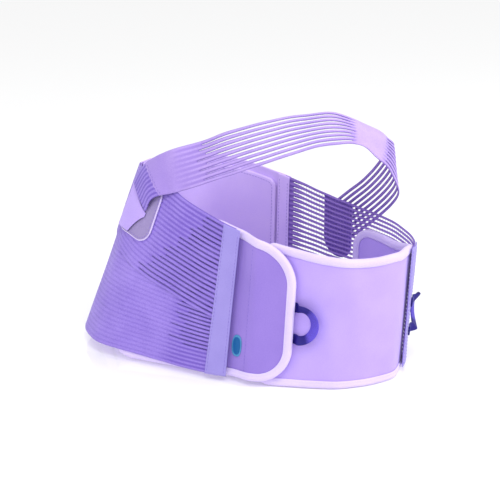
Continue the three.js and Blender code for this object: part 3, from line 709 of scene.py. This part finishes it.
def padded_sheet(
    piece, shape, inset, middle, thickness, step=3.5, row_count=34, edge=1.6, crown=PAD_CROWN
):
    lengths = rounded_lengths(shape, inset, step)
    low, high = rounded_edges(shape, lengths, inset)
    rows = np.linspace(0.05, 0.95, row_count)
    shares = np.concatenate([[0, 0.004, 0.012, 0.025], rows, [0.975, 0.988, 0.996, 1]])
    height = low[:, None] + (high - low)[:, None] * shares[None]
    along = np.repeat(lengths[:, None], len(shares), 1)
    distance = edge_distance(lengths, height)
    swell = edge_swell(distance, edge) * (1 + crown * edge_swell(distance, CROWN_REACH))
    wall_sheet(piece, along, height, middle(along), thickness, swell)


def rounded_loop(shape, step):
    """The outline of a rounded piece: length and height along it, and the way inwards."""
    lengths = rounded_lengths(shape, 0, step)
    low, high = rounded_edges(shape, lengths, 0)
    count = max(4, int((high[-1] - low[-1]) / step))
    side = np.linspace(0, 1, count)[1:-1]
    first = np.column_stack([lengths, low])
    second = np.column_stack([np.full(len(side), lengths[-1]), mix(low[-1], high[-1], side)])
    third = np.column_stack([lengths, high])[::-1]
    fourth = np.column_stack([np.full(len(side), lengths[0]), mix(high[0], low[0], side)])
    loop = np.concatenate([first, second, third, fourth])
    ahead = unit(np.roll(loop, -1, 0) - np.roll(loop, 1, 0))
    return loop, np.column_stack([-ahead[:, 1], ahead[:, 0]])


def bound_edge(panel, shape, middle):
    """A tape folded over the edge of a padded panel, with a row of stitches on both faces."""
    loop, inward = rounded_loop(shape, 3.0)
    face = PANEL_THICKNESS / 2 + 0.25
    skin = PANEL_THICKNESS / 2 + binding_stand
    outer = [
        (BINDING_WIDTH + 0.2, face + 0.5),
        (BINDING_WIDTH - 0.4, skin - 0.25),
        (BINDING_WIDTH - 2, skin - 0.35),
        (BINDING_WIDTH - 3.4, skin),
        (BINDING_WIDTH * 0.35, skin + 0.1),
        (1.3, skin - 0.45),
        (0.4, skin - 1.3),
        (0, 0.9),
    ]
    inner = [(BINDING_THICKNESS, face - 0.6), (BINDING_WIDTH * 0.6, face), (BINDING_WIDTH - 0.2, face)]
    mirrored = [(x, -y) for x, y in reversed(inner + outer)]
    section = np.array(outer + mirrored + inner)
    run = np.arange(len(loop))
    pucker = 0.12 * np.sin(run * 0.9) + 0.1 * np.sin(run * 0.37 + 1)
    along = loop[:, :1] + inward[:, :1] * section[None, :, 0]
    height = loop[:, 1:] + inward[:, 1:] * section[None, :, 0]
    stand = section[None, :, 1] * (1 + 0.05 * pucker[:, None])
    piece = Piece(panel + "_bound_edge")
    piece.sweep(wall(along, height, middle(along) + stand), 0, closed=True)
    for turn in (1, -1):
        loop_stitches(piece, loop, inward, BINDING_WIDTH - 2, middle, skin - 0.32, turn, STITCH_RADIUS)
    finished(piece, ["binding_cloth", "pale_thread"], panel + "_binding")


def panel_high(along):
    return rim_height(along) - REACH_DROP * ease(along - right_tape[0], 0, REACH_DROP_LENGTH)


def tab_high(along):
    return rim_height(along) - REACH_DROP * ease(left_tape[0] - along, 0, REACH_DROP_LENGTH)


front_panel_shape = Outline(panel_start, panel_reach, PANEL_CORNER, REACH_CORNER, constant(0), panel_high)
closure_tab_shape = Outline(tab_reach, tab_end, REACH_CORNER, TAB_CORNER, constant(TAB_LIFT), tab_high)


front_panel = Piece("front_panel_padded")
padded_sheet(front_panel, front_panel_shape, binding_stand, panel_middle, PANEL_THICKNESS)
finished(front_panel, ["panel_cloth"], "front_panel")

bound_edge("front_panel", front_panel_shape, panel_middle)

closure_tab = Piece("closure_tab_padded")
padded_sheet(closure_tab, closure_tab_shape, binding_stand, tab_middle, PANEL_THICKNESS, step=3)
seam_place = left_tape[1] + TAB_SEAM_DISTANCE
seam_heights = np.linspace(TAB_LIFT + BINDING_WIDTH, rim_height(seam_place) - BINDING_WIDTH, 60)
tab_front = tab_middle(seam_place) + PANEL_THICKNESS / 2 * (1 + PAD_CROWN)
wall_stitches(closure_tab, seam_place, seam_heights, tab_front, 1, FINE_STITCH_RADIUS)
finished(closure_tab, ["tab_cloth", "violet_thread"], "closure_tab")

bound_edge("closure_tab", closure_tab_shape, tab_middle)


# Ribbed elastics

def rib_rows(gaps, gap_share):
    """Shares across the sheet, each row's swell, the gap that each cell belongs to or -1."""
    pitch = 1 / (gaps + 1 - gap_share)
    shares, swell, cells = [], [], []
    for rib in range(gaps + 1):
        for place, size in RIB_PROFILE:
            shares.append((rib + place * (1 - gap_share)) * pitch)
            swell.append(size)
            cells.append(-1)
        shares.append((rib + 1 - gap_share) * pitch)
        swell.append(RIB_PROFILE[0][1])
        cells.append(rib)
    return np.array(shares), np.array(swell), np.array(cells[:-1])


def narrowed(shares, cells, opening):
    """Shares whose gaps are drawn together where opening is below 1."""
    result = np.repeat(shares[None], len(opening), 0)
    for cell in np.nonzero(cells >= 0)[0]:
        middle = (shares[cell] + shares[cell + 1]) / 2
        for edge in (cell, cell + 1):
            result[:, edge] = middle + (shares[edge] - middle) * opening
    return result


def ribbed(
    node, start, end, gaps, gap_share, low, face, thickness, open_range, opening, contrast=np.ones_like,
    threads=(),
):
    """A ribbed elastic on the wall, cut from a piece as wide as the belt's side is high.

    open_range(gap) is where a gap is cut through. opening and contrast say how wide the gaps and how
    deep the grooves are at a length, as shares of the most, and contrast also sets the grooves' painted
    shade. threads are the places of threads across.
    """
    lengths = edged_lengths(start, end, RIB_STEP, RIB_END_RADIUS)
    shares, swell, cells = rib_rows(gaps, gap_share)
    rows = narrowed(shares, cells, opening(lengths))
    rng = np.random.default_rng(SEED + gaps)
    drift = rng.normal(0, 1, (8, len(shares)))
    waves = sum(
        line[None] * np.sin((n + 1) * lengths[:, None] / 19 + 2.1 * n) / (n + 1)
        for n, line in enumerate(drift)
    )
    foot = low(lengths)[:, None]
    top = rim_height(lengths)[:, None]
    height = foot + (top - foot) * rows
    along = np.repeat(lengths[:, None], len(shares), 1)
    solid = np.ones((len(lengths) - 1, len(shares) - 1), bool)
    middles = (lengths[:-1] + lengths[1:]) / 2
    for row in np.nonzero(cells >= 0)[0]:
        first, last = open_range(cells[row])
        solid[(middles > first) & (middles < last), row] = False
    ends = np.minimum(lengths - start, end - lengths)[:, None]
    ribs = 1 - (1 - swell[None]) * contrast(lengths)[:, None]
    full = ribs * (0.3 + 0.7 * edge_swell(ends, RIB_END_RADIUS))
    middle = face + thickness / 2 + RIB_WANDER * waves
    piece = Piece(node + "_ribbed")
    # The ribs' swell also goes in as painted light, which paints shade into the grooves.
    wall_sheet(piece, along, height, middle, thickness, full, solid, 0, 1, ribs)
    for place in threads:
        cross_thread(piece, place, low, face + thickness / 2)
    made = finished(piece, ["elastic_cloth", "elastic_inside"], node)
    measured = np.linspace(start, end, 200)
    area = float(np.mean(rim_height(measured) - low(measured))) * (end - start) * MM * MM


def cross_thread(piece, place, low, middle):
    """A thin thread that bridges the gaps from one edge to the other."""
    heights = np.linspace(low(np.array([place]))[0] + 1, rim_height(place) - 1, 60)
    line = wall(place, heights, middle)
    up = unit(np.gradient(line, axis=0))
    out = unit(wall(place, heights, middle + 1) - line)
    side = unit(np.cross(up, out))
    piece.sweep(rings_round(line, side, out, THREAD_RADIUS, 5), 1)


back_left_end = back_ends[1] - RING_LENGTH
left_start = back_left_end - SEAM_OVERLAP
left_end = left_tape[1] - TAPE_WIDTH * TAPE_FREE_SHARE
right_start = right_tape[0] + TAPE_WIDTH * TAPE_FREE_SHARE
right_end = back_ends[0] + SEAM_OVERLAP
cross_start = back_left_end + CLEARANCE


def low_right(along):
    return TAB_LIFT * (1 - ease(along, right_start, right_end))


def right_open(gap):
    """Every gap is cut through from the tape to a band at the back."""
    return right_tape[1] + CLEARANCE, back_ends[0] - END_BAND


def right_opening(along):
    """The gaps are drawn together towards the tape and the back."""
    from_tape = ease(along, right_tape[1], right_tape[1] + 12)
    from_back = ease(back_ends[0] - along, 8, 20)
    return mix(0.35, 1, from_tape * from_back)


def near_tape(along, far, near):
    """0 beyond the far distance behind the left tape, and 1 within the near one."""
    return ease(along, left_tape[0] - far, left_tape[0] - near)


def low_left(along):
    return mix(TAB_LIFT, ELASTIC_LIFT, ease(left_tape[0] - along, 0, TAB_REACH_BEHIND))


def left_open(gap):
    """The lowest gaps stay shut, and the others end behind the tape on a ragged line."""
    open_length = LEFT_OPEN_LENGTH + 9 * math.sin(gap * 2.3) if gap > LEFT_CLOSED_GAPS else 0
    return left_tape[0] - open_length, left_tape[0] - CLEARANCE


def low_cross(along):
    return mix(CROSS_LOW_AT_BACK, CROSS_LOW_AT_TAPE, (along - left_start) / (left_end - left_start))


def cross_open(gap):
    """The lower a gap is, the further it reaches back, on a ragged line."""
    open_length = mix(CROSS_OPEN_AT_FOOT, CROSS_OPEN_AT_RIM, gap / CROSS_GAPS) + 5 * math.sin(gap * 1.9)
    return left_tape[0] - open_length, left_tape[0] - CLEARANCE


ribbed(
    "right_elastic", right_start, right_end, RIGHT_GAPS, RIGHT_GAP_SHARE, low_right, 0, ELASTIC_THICKNESS,
    right_open, right_opening,
    threads=np.arange(right_tape[1] + END_BAND, back_ends[0] - END_BAND - 1, THREAD_PITCH),
)
ribbed(
    "left_elastic", left_start, left_end, LEFT_GAPS, LEFT_GAP_SHARE, low_left, 0, ELASTIC_THICKNESS,
    left_open,
    opening=lambda along: mix(0.12, 0.42, near_tape(along, 45, 12)),
    contrast=lambda along: mix(0.2, 0.7, near_tape(along, 52, 30)),
)
ribbed(
    "left_cross_elastic", cross_start, left_end, CROSS_GAPS, CROSS_GAP_SHARE, low_cross, over_elastic,
    CROSS_THICKNESS, cross_open,
    opening=lambda along: mix(0.12, 0.45, near_tape(along, 90, 20)),
    contrast=lambda along: mix(0.28, 0.7, near_tape(along, 110, 50)),
)


# Tapes and the back

def band(piece, start, end, low, face, thickness, inner_kind=0, seam=TAPE_SEAM):
    """An even band of cloth with a stitched, pressed seam at a distance from its edges."""
    edge = 1.4
    lengths = edged_lengths(start, end, 3.5, edge)
    foot = low(lengths)[:, None]
    top = rim_height(lengths)[:, None]
    shares = np.concatenate([[0, 0.003, 0.01], np.linspace(0.02, 0.98, 40), [0.99, 0.997, 1]])
    height = foot + (top - foot) * shares[None]
    along = np.repeat(lengths[:, None], len(shares), 1)
    distance = edge_distance(lengths, height)
    swell = edge_swell(distance, edge) * (1 - 0.22 * np.exp(-((distance - seam) / 0.9) ** 2))
    middle = face + thickness / 2
    wall_sheet(piece, along, height, np.full_like(height, middle), thickness, swell, None, 0, inner_kind)
    for place in (start + seam, end - seam):
        heights = np.linspace(low(np.array([place]))[0] + 3, rim_height(place) - 3, 80)
        for turn in (1, -1):
            out = middle + turn * thickness * 0.42
            wall_stitches(piece, place, heights, out, turn, SEAM_STITCH_RADIUS)


back_tape_face = -CLEARANCE - TAPE_THICKNESS
for name, (start, end), face, cloth_of_tape in (
    ("left_seam_tape", left_tape, left_tape_face, "tape_cloth"),
    ("right_seam_tape", right_tape, over_elastic, "tape_cloth"),
    ("back_right_seam_tape", (back_ends[0], back_ends[0] + SEAM_WIDTH), back_tape_face, "lining_cloth"),
    ("back_left_seam_tape", (back_ends[1] - SEAM_WIDTH, back_ends[1]), back_tape_face, "lining_cloth"),
):
    tape = Piece(name + "_woven")
    band(tape, start, end, constant(TAB_LIFT), face, TAPE_THICKNESS)
    finished(tape, [cloth_of_tape, "violet_thread"], name)

back_panel = Piece("back_panel_knit")
band(back_panel, *back_ends, constant(0), over_elastic, BACK_THICKNESS, inner_kind=2, seam=BACK_SEAM)
finished(back_panel, ["back_cloth", "violet_thread", "lining_cloth"], "back_panel")

lining_shape = Outline(
    back_ends[0] + LINING_MARGIN, back_ends[1] - LINING_MARGIN, LINING_DROP, LINING_DROP,
    constant(LINING_DROP / 2), under_rim(LINING_DROP),
)
lining_middle = constant(over_elastic - 2 * CLEARANCE - LINING_THICKNESS / 2)
back_lining = Piece("back_lining_padded")
padded_sheet(
    back_lining, lining_shape, 0, lining_middle, LINING_THICKNESS, edge=LINING_THICKNESS, crown=LINING_CROWN
)
lining_stand = LINING_THICKNESS / 2 * 1.04
lining_loop, lining_inward = rounded_loop(lining_shape, 3.0)
loop_stitches(back_lining, lining_loop, lining_inward, LINING_SEAM, lining_middle, lining_stand, -1)
finished(back_lining, ["lining_cloth", "violet_thread"], "back_lining")

# Hook tabs of the strap
right_tab_corner = RIGHT_TAB_WIDTH * RIGHT_TAB_CORNER_SHARE
right_tab_shape = Outline(
    RIGHT_TAB_PLACE - RIGHT_TAB_WIDTH / 2, RIGHT_TAB_PLACE + RIGHT_TAB_WIDTH / 2,
    right_tab_corner, right_tab_corner, under_rim(RIGHT_TAB_DROP), under_rim(EDGE_MARGIN), square_top=True,
)
left_tab_shape = Outline(
    LEFT_TAB_PLACE - LEFT_TAB_WIDTH / 2, LEFT_TAB_PLACE + LEFT_TAB_WIDTH / 2,
    LEFT_TAB_CORNER, LEFT_TAB_CORNER, under_rim(LEFT_TAB_LENGTH), under_rim(EDGE_MARGIN),
)
for name, shape, face, tab_cloth, rim_cloth in (
    ("strap_right_tab", right_tab_shape, over_elastic, "dark_hook_cloth", "dark_hook_cloth"),
    ("strap_left_tab", left_tab_shape, left_tape_face, "hook_cloth", "binding_cloth"),
):
    tab = Piece(name + "_hooked")
    middle_out = face + HOOK_THICKNESS / 2
    middle = constant(middle_out)
    padded_sheet(tab, shape, 0, middle, HOOK_THICKNESS, step=1.6, row_count=30, edge=1.2, crown=0)
    loop, inward = rounded_loop(shape, 2.0)
    for turn in (1, -1):
        loop_stitches(tab, loop, inward, HOOK_SEAM, middle, HOOK_THICKNESS * 0.48, turn)
    rounds = np.arange(10) * math.pi / 5
    rim = loop[:, None] + inward[:, None] * (0.5 + 0.9 * np.cos(rounds))[None, :, None]
    tab.sweep(wall(rim[..., 0], rim[..., 1], middle_out + 1.15 * np.sin(rounds)[None]), 2, closed=True)
    finished(tab, [tab_cloth, "violet_thread", rim_cloth], name)

# The turned-over end of the strap, whose slanted front edge curls off the tab
strap_end_low = LEFT_END_LOW[0]
strap_end_high = LEFT_END_HIGH[0]
flap_face = left_tape_face + HOOK_THICKNESS + 2 * CLEARANCE
flap_start = left_tab_shape.start + EDGE_MARGIN
flap_end = strap_end_low[0]
flap_corner = flap_end - FLAP_CORNER_LENGTH


def flap_high(along):
    share = (along - strap_end_low[0]) / (strap_end_high[0] - strap_end_low[0])
    return mix(strap_end_low[1], strap_end_high[1], share) - EDGE_MARGIN


def flap_low(along):
    low = left_tab_shape.low(along) + EDGE_MARGIN
    return mix(low, flap_high(along) - 2 * EDGE_MARGIN, ramp(along, flap_corner, flap_end))


flap_lengths = edged_lengths(flap_start, flap_end, 1.5, 1)
flap_shares = np.concatenate([[0, 0.01, 0.03], np.linspace(0.06, 0.94, 26), [0.97, 0.99, 1]])
flap_along = np.repeat(flap_lengths[:, None], len(flap_shares), 1)
flap_foot = flap_low(flap_lengths)[:, None]
flap_top = flap_high(flap_lengths)[:, None]
flap_height = flap_foot + (flap_top - flap_foot) * flap_shares[None]
flap_width = np.clip((flap_top - flap_foot) / FLAP_TIP, 0, 1)
flap_bend = ease(flap_along, flap_corner - LEFT_TAB_CORNER, flap_end) * flap_width
curl = FLAP_CURL * (1 - flap_shares[None]) ** 2 * flap_bend
flap_middle = flap_face + curl + FLAP_THICKNESS / 2
flap_swell = edge_swell(edge_distance(flap_lengths, flap_height), 0.9)
flap = Piece("strap_left_flap_turned")
wall_sheet(flap, flap_along, flap_height, flap_middle, FLAP_THICKNESS, flap_swell, None, 0, 1)
finished(flap, ["panel_cloth", "hook_cloth"], "strap_left_flap")

# The belly strap
strap_left_face = flap_face + STRAP_BULGE + STRAP_THICKNESS / 2
strap_right_face = over_elastic + HOOK_THICKNESS + CLEARANCE + STRAP_THICKNESS / 2


def strap_edge_points(left, sections, right):
    """Points of one edge of the strap: its left end, its free stretch and its right end."""
    ends = []
    for points, face in ((left, strap_left_face), (right, strap_right_face)):
        along, height, off = np.array(points, float).T
        ends.append(wall(along, height, face + off - sway(along, height)))
    return np.concatenate([ends[0], sections * (half_width, half_depth, HOOP_HEIGHT), ends[1]])


strap_low = strap_edge_points(LEFT_END_LOW, STRAP_SECTIONS[:, :3], RIGHT_END_LOW)
strap_high = strap_edge_points(LEFT_END_HIGH, STRAP_SECTIONS[:, 3:], RIGHT_END_HIGH)

strap_columns = np.linspace(0.004, 0.996, STRAP_COLUMNS)
strap_shares = np.concatenate([[0, 0.0006, 0.0018], strap_columns, [0.9982, 0.9994, 1]])
rib_shares, rib_swell, rib_cells = rib_rows(STRAP_GAPS, STRAP_GAP_SHARE)
front_end = FRONT_RIBS[1]
rear_start = REAR_RIBS[0]
front_open = ease(strap_shares, *FRONT_OPENING) - ease(strap_shares, front_end - 0.015, front_end + 0.005)
rear_open = ease(strap_shares, rear_start - 0.01, rear_start + 0.01) - ease(strap_shares, *REAR_CLOSING)
strap_opening = mix(0.15, 1, front_open + rear_open)
strap_rows = narrowed(rib_shares, rib_cells, strap_opening)
strap_middles = (strap_shares[:-1] + strap_shares[1:]) / 2
strap_solid = np.ones((len(strap_shares) - 1, len(rib_shares) - 1), bool)
for row in np.nonzero(rib_cells >= 0)[0]:
    ragged = 0.006 * math.sin(rib_cells[row] * 2.7)
    front = (strap_middles > FRONT_RIBS[0] + 2 * ragged) & (strap_middles < front_end + ragged)
    rear = (strap_middles > rear_start + 0.5 * ragged) & (strap_middles < REAR_RIBS[1])
    strap_solid[front | rear, row] = False
front_depth = ease(strap_shares, 0.17, FRONT_RIBS[0]) - ease(strap_shares, front_end, front_end + 0.015)
rear_depth = ease(strap_shares, rear_start - 0.02, rear_start)
strap_rib_depth = np.clip(front_depth + rear_depth, 0, 1)[:, None]
smooth_from = SMOOTH_FROM + SMOOTH_SLANT * (1 - rib_shares[None])
strap_end_ribs = 0.7 * ramp(smooth_from - strap_shares[:, None], -0.002, 0.002)
strap_swell = mix(1.0, rib_swell[None], np.maximum(strap_rib_depth, strap_end_ribs))
strap_edge = np.minimum(strap_rows, 1 - strap_rows) * STRAP_WIDTH
strap_run = np.minimum(strap_shares, 1 - strap_shares)[:, None] * STRAP_END_SCALE
# Painted shade: the strap darkens along its left stretch, where it turns away from the light, and its rib
# grooves are painted darker.
strap_shading = mix(0.78, 1, ease(strap_shares, 0.1, 0.34))[:, None]
strap_painted_light = strap_swell * np.where(strap_shares[:, None] < smooth_from, 1, strap_shading)
strap_layers = mix(0.75, 1.15, ramp(strap_shares[:, None] - smooth_from, -0.003, 0.001))
strap_swell = strap_swell * edge_swell(np.minimum(strap_edge, strap_run), 0.9) * strap_layers
low_line = open_spline(strap_low, strap_shares)
high_line = open_spline(strap_high, strap_shares)
strap_middle = (low_line + high_line) / 2
strap_across = unit(high_line - low_line)
strap_ahead = np.gradient(strap_middle, axis=0)
strap_outward = unit(np.cross(strap_ahead, strap_across))
ripple = 0.5 * np.sin(strap_shares * 61) + 0.35 * np.sin(strap_shares * 97 + 1)


def strap_place(side):
    rise = 2 * strap_rows - 1
    bulge = STRAP_BULGE * (1 - rise ** 2) + ripple[:, None] * rise * 0.8
    out = bulge + side * STRAP_THICKNESS / 2
    across = rise * STRAP_WIDTH / 2
    in_cloth = strap_middle[:, None] + strap_across[:, None] * across[..., None]
    return in_cloth + strap_outward[:, None] * out[..., None]


strap_length = float(np.linalg.norm(np.diff(strap_middle, axis=0), axis=1).sum())
strap_flat = np.stack([
    np.repeat(strap_shares[:, None] * strap_length, len(rib_shares), 1), strap_rows * STRAP_WIDTH
], -1)
strap = Piece("belly_strap_ribbed")
strap_outer = np.where(strap_middles[:, None] < smooth_from[:, :-1], 2, 0)
strap.sheet(strap_place, strap_flat, strap_swell, strap_solid, strap_outer, 1, strap_painted_light)
strap_rows_run = np.arange(2, len(rib_shares) - 2)
for seam_places in (smooth_from[0] + LEFT_SEAM_STEP, np.full(len(rib_shares), RIGHT_SEAM)):
    seam_columns = np.searchsorted(strap_shares, seam_places)[strap_rows_run]
    for turn in (1, -1):
        seam_line = strap_place(turn * 1.02 * strap_swell)[seam_columns, strap_rows_run]
        stitch_row(strap, seam_line, strap_outward[seam_columns] * turn, 3, FINE_STITCH_RADIUS)
strap_kinds = ["strap_cloth", "elastic_inside", "elastic_cloth", "violet_thread"]
strap_object = finished(strap, strap_kinds, "belly_strap")


# Pull loops

def pull_loop(node, root, height, face):
    """Webbing bent to a D: its legs lie flat at the root, and its bend is turned on edge. The legs are
    painted in shade.
    """
    arm = LOOP_HEIGHT / 2 - LOOP_STAND
    straight = LOOP_REACH - LOOP_BAND
    angles = np.linspace(0, math.pi, 49)
    bend = straight * LOOP_LEG_SHARE * (1 + 2 * np.sin(angles))
    legs = np.linspace(-LOOP_BAND, bend[0] - 0.4, 14)
    reach = np.concatenate([legs, bend, legs[::-1]])
    turn = np.pad(angles, len(legs), "edge")[:, None]
    rise = arm * np.cos(turn)
    up = ease(reach, CLEARANCE, LOOP_TURN_LENGTH)[:, None]
    tilt = np.radians(LOOP_TILT) * up
    places = np.linspace(0, 2 * math.pi, 24, endpoint=False)[None]
    across = LOOP_BAND / 2 * signed_power(np.cos(places), 0.35)
    deep = LOOP_THICKNESS / 2 * signed_power(np.sin(places), 0.6)
    in_wall = across * np.cos(tilt) - deep * np.sin(tilt)
    off = across * np.sin(tilt) + deep * np.cos(tilt)
    along = root + reach[:, None] + in_wall * np.sin(turn)
    level = height + rise + in_wall * np.cos(turn)
    loop = Piece(node + "_webbing")
    # Painted shade: the legs near the root are darker and the bend lighter, for how the light falls on
    # them.
    shade = 0.45 + 0.55 * ease(reach, straight * 0.55, straight * 1.15)
    loop.sweep(wall(along, level, face + LOOP_THICKNESS / 2 + LOOP_STAND * up + off), 0, painted_light=shade)
    finished(loop, ["loop_cloth"], node)


right_loop_face = over_elastic + TAPE_THICKNESS + CLEARANCE
pull_loop("left_pull_loop", tab_end, PULL_HEIGHT, PANEL_THICKNESS / 2 + 3 * CLEARANCE)
pull_loop("right_pull_loop", right_tape[1], PULL_HEIGHT - LOOP_BAND, right_loop_face)

# The blank patch, with a raised rim, and its lower middle painted in shade
patch_place = left_tape[1] + PATCH_FROM_TAPE
patch_rounds = np.linspace(0, 2 * math.pi, 48, endpoint=False)
patch_steps = np.array([1.0, 0.99, 0.95, 0.88, 0.82, 0.76, 0.5, 0.25, 0.02])
patch_heights = np.array([0.0, 0.5, 0.95, 1.0, 0.95, 0.7, 0.66, 0.66, 0.66]) * PATCH_THICKNESS
patch_sizes = np.concatenate([patch_steps[::-1], patch_steps])
patch_levels = np.concatenate([np.zeros(len(patch_steps)), patch_heights])
patch_across = signed_power(np.cos(patch_rounds), PATCH_FULLNESS)
patch_up = signed_power(np.sin(patch_rounds), PATCH_FULLNESS)
patch_along = patch_place + patch_sizes[:, None] * patch_across[None] * PATCH_WIDTH / 2
patch_height = PATCH_PLACE_HEIGHT + patch_sizes[:, None] * patch_up[None] * PATCH_HEIGHT / 2
patch_out = tab_middle(patch_along) + PANEL_THICKNESS / 2 * 1.2 + 0.15 + patch_levels[::-1, None]
patch = Piece("blank_patch_raised")
# Painted shade: the middle inside the raised rim is darker than the rim.
patch_painted_light = np.where(patch_sizes > 0.8, 1, 0.55)
patch.sweep(wall(patch_along, patch_height, patch_out), 0, painted_light=patch_painted_light)
finished(patch, ["patch_cloth"], "blank_patch")


# Floor, light and camera

def stage_floor():
    mesh = bpy.data.meshes.new("floor")
    corners = [(x * FLOOR_REACH, y * FLOOR_REACH, 0) for x, y in ((-1, -1), (1, -1), (1, 1), (-1, 1))]
    mesh.from_pydata(corners, [], [(0, 1, 2, 3)])
    floor = new_object("floor", mesh)
    floor.location.z = -FLOOR_DROP
    material = bpy.data.materials.new("pale_floor")
    material.use_nodes = True
    shader = material.node_tree.nodes["Principled BSDF"]
    set_inputs(shader, {"Base Color": FLOOR_COLOUR, "Roughness": 0.06, "Specular IOR Level": 0.9})
    set_inputs(shader, {"Emission Color": (1, 1, 1, 1), "Emission Strength": 0.1})
    mesh.materials.append(material)


def area_light(name, place, target, size, power):
    light = bpy.data.lights.new(name, "AREA")
    light.shape = "DISK"
    light.size = size
    light.energy = power
    lamp = new_object(name, light)
    lamp.location = place
    lamp.rotation_euler = (Vector(target) - Vector(place)).to_track_quat("-Z", "Y").to_euler()


stage_floor()
for light_values in LIGHTS:
    area_light(*light_values)
world = bpy.data.worlds.new("studio")
world.use_nodes = True
set_inputs(world.node_tree.nodes["Background"], {"Color": (1, 1, 1, 1), "Strength": WORLD_LIGHT})
bpy.context.scene.world = world
bpy.context.scene.view_settings.view_transform = "Standard"

camera_data = bpy.data.cameras.new("camera")
camera_data.sensor_width = CAMERA_SENSOR
camera_data.lens = CAMERA_LENS
camera = new_object("camera", camera_data)
camera.location = ((CAMERA_PLACE + ORIGIN) * MM).tolist()
camera.rotation_euler = Vector(CAMERA_AHEAD).to_track_quat("-Z", "Y").to_euler()
bpy.context.scene.camera = camera
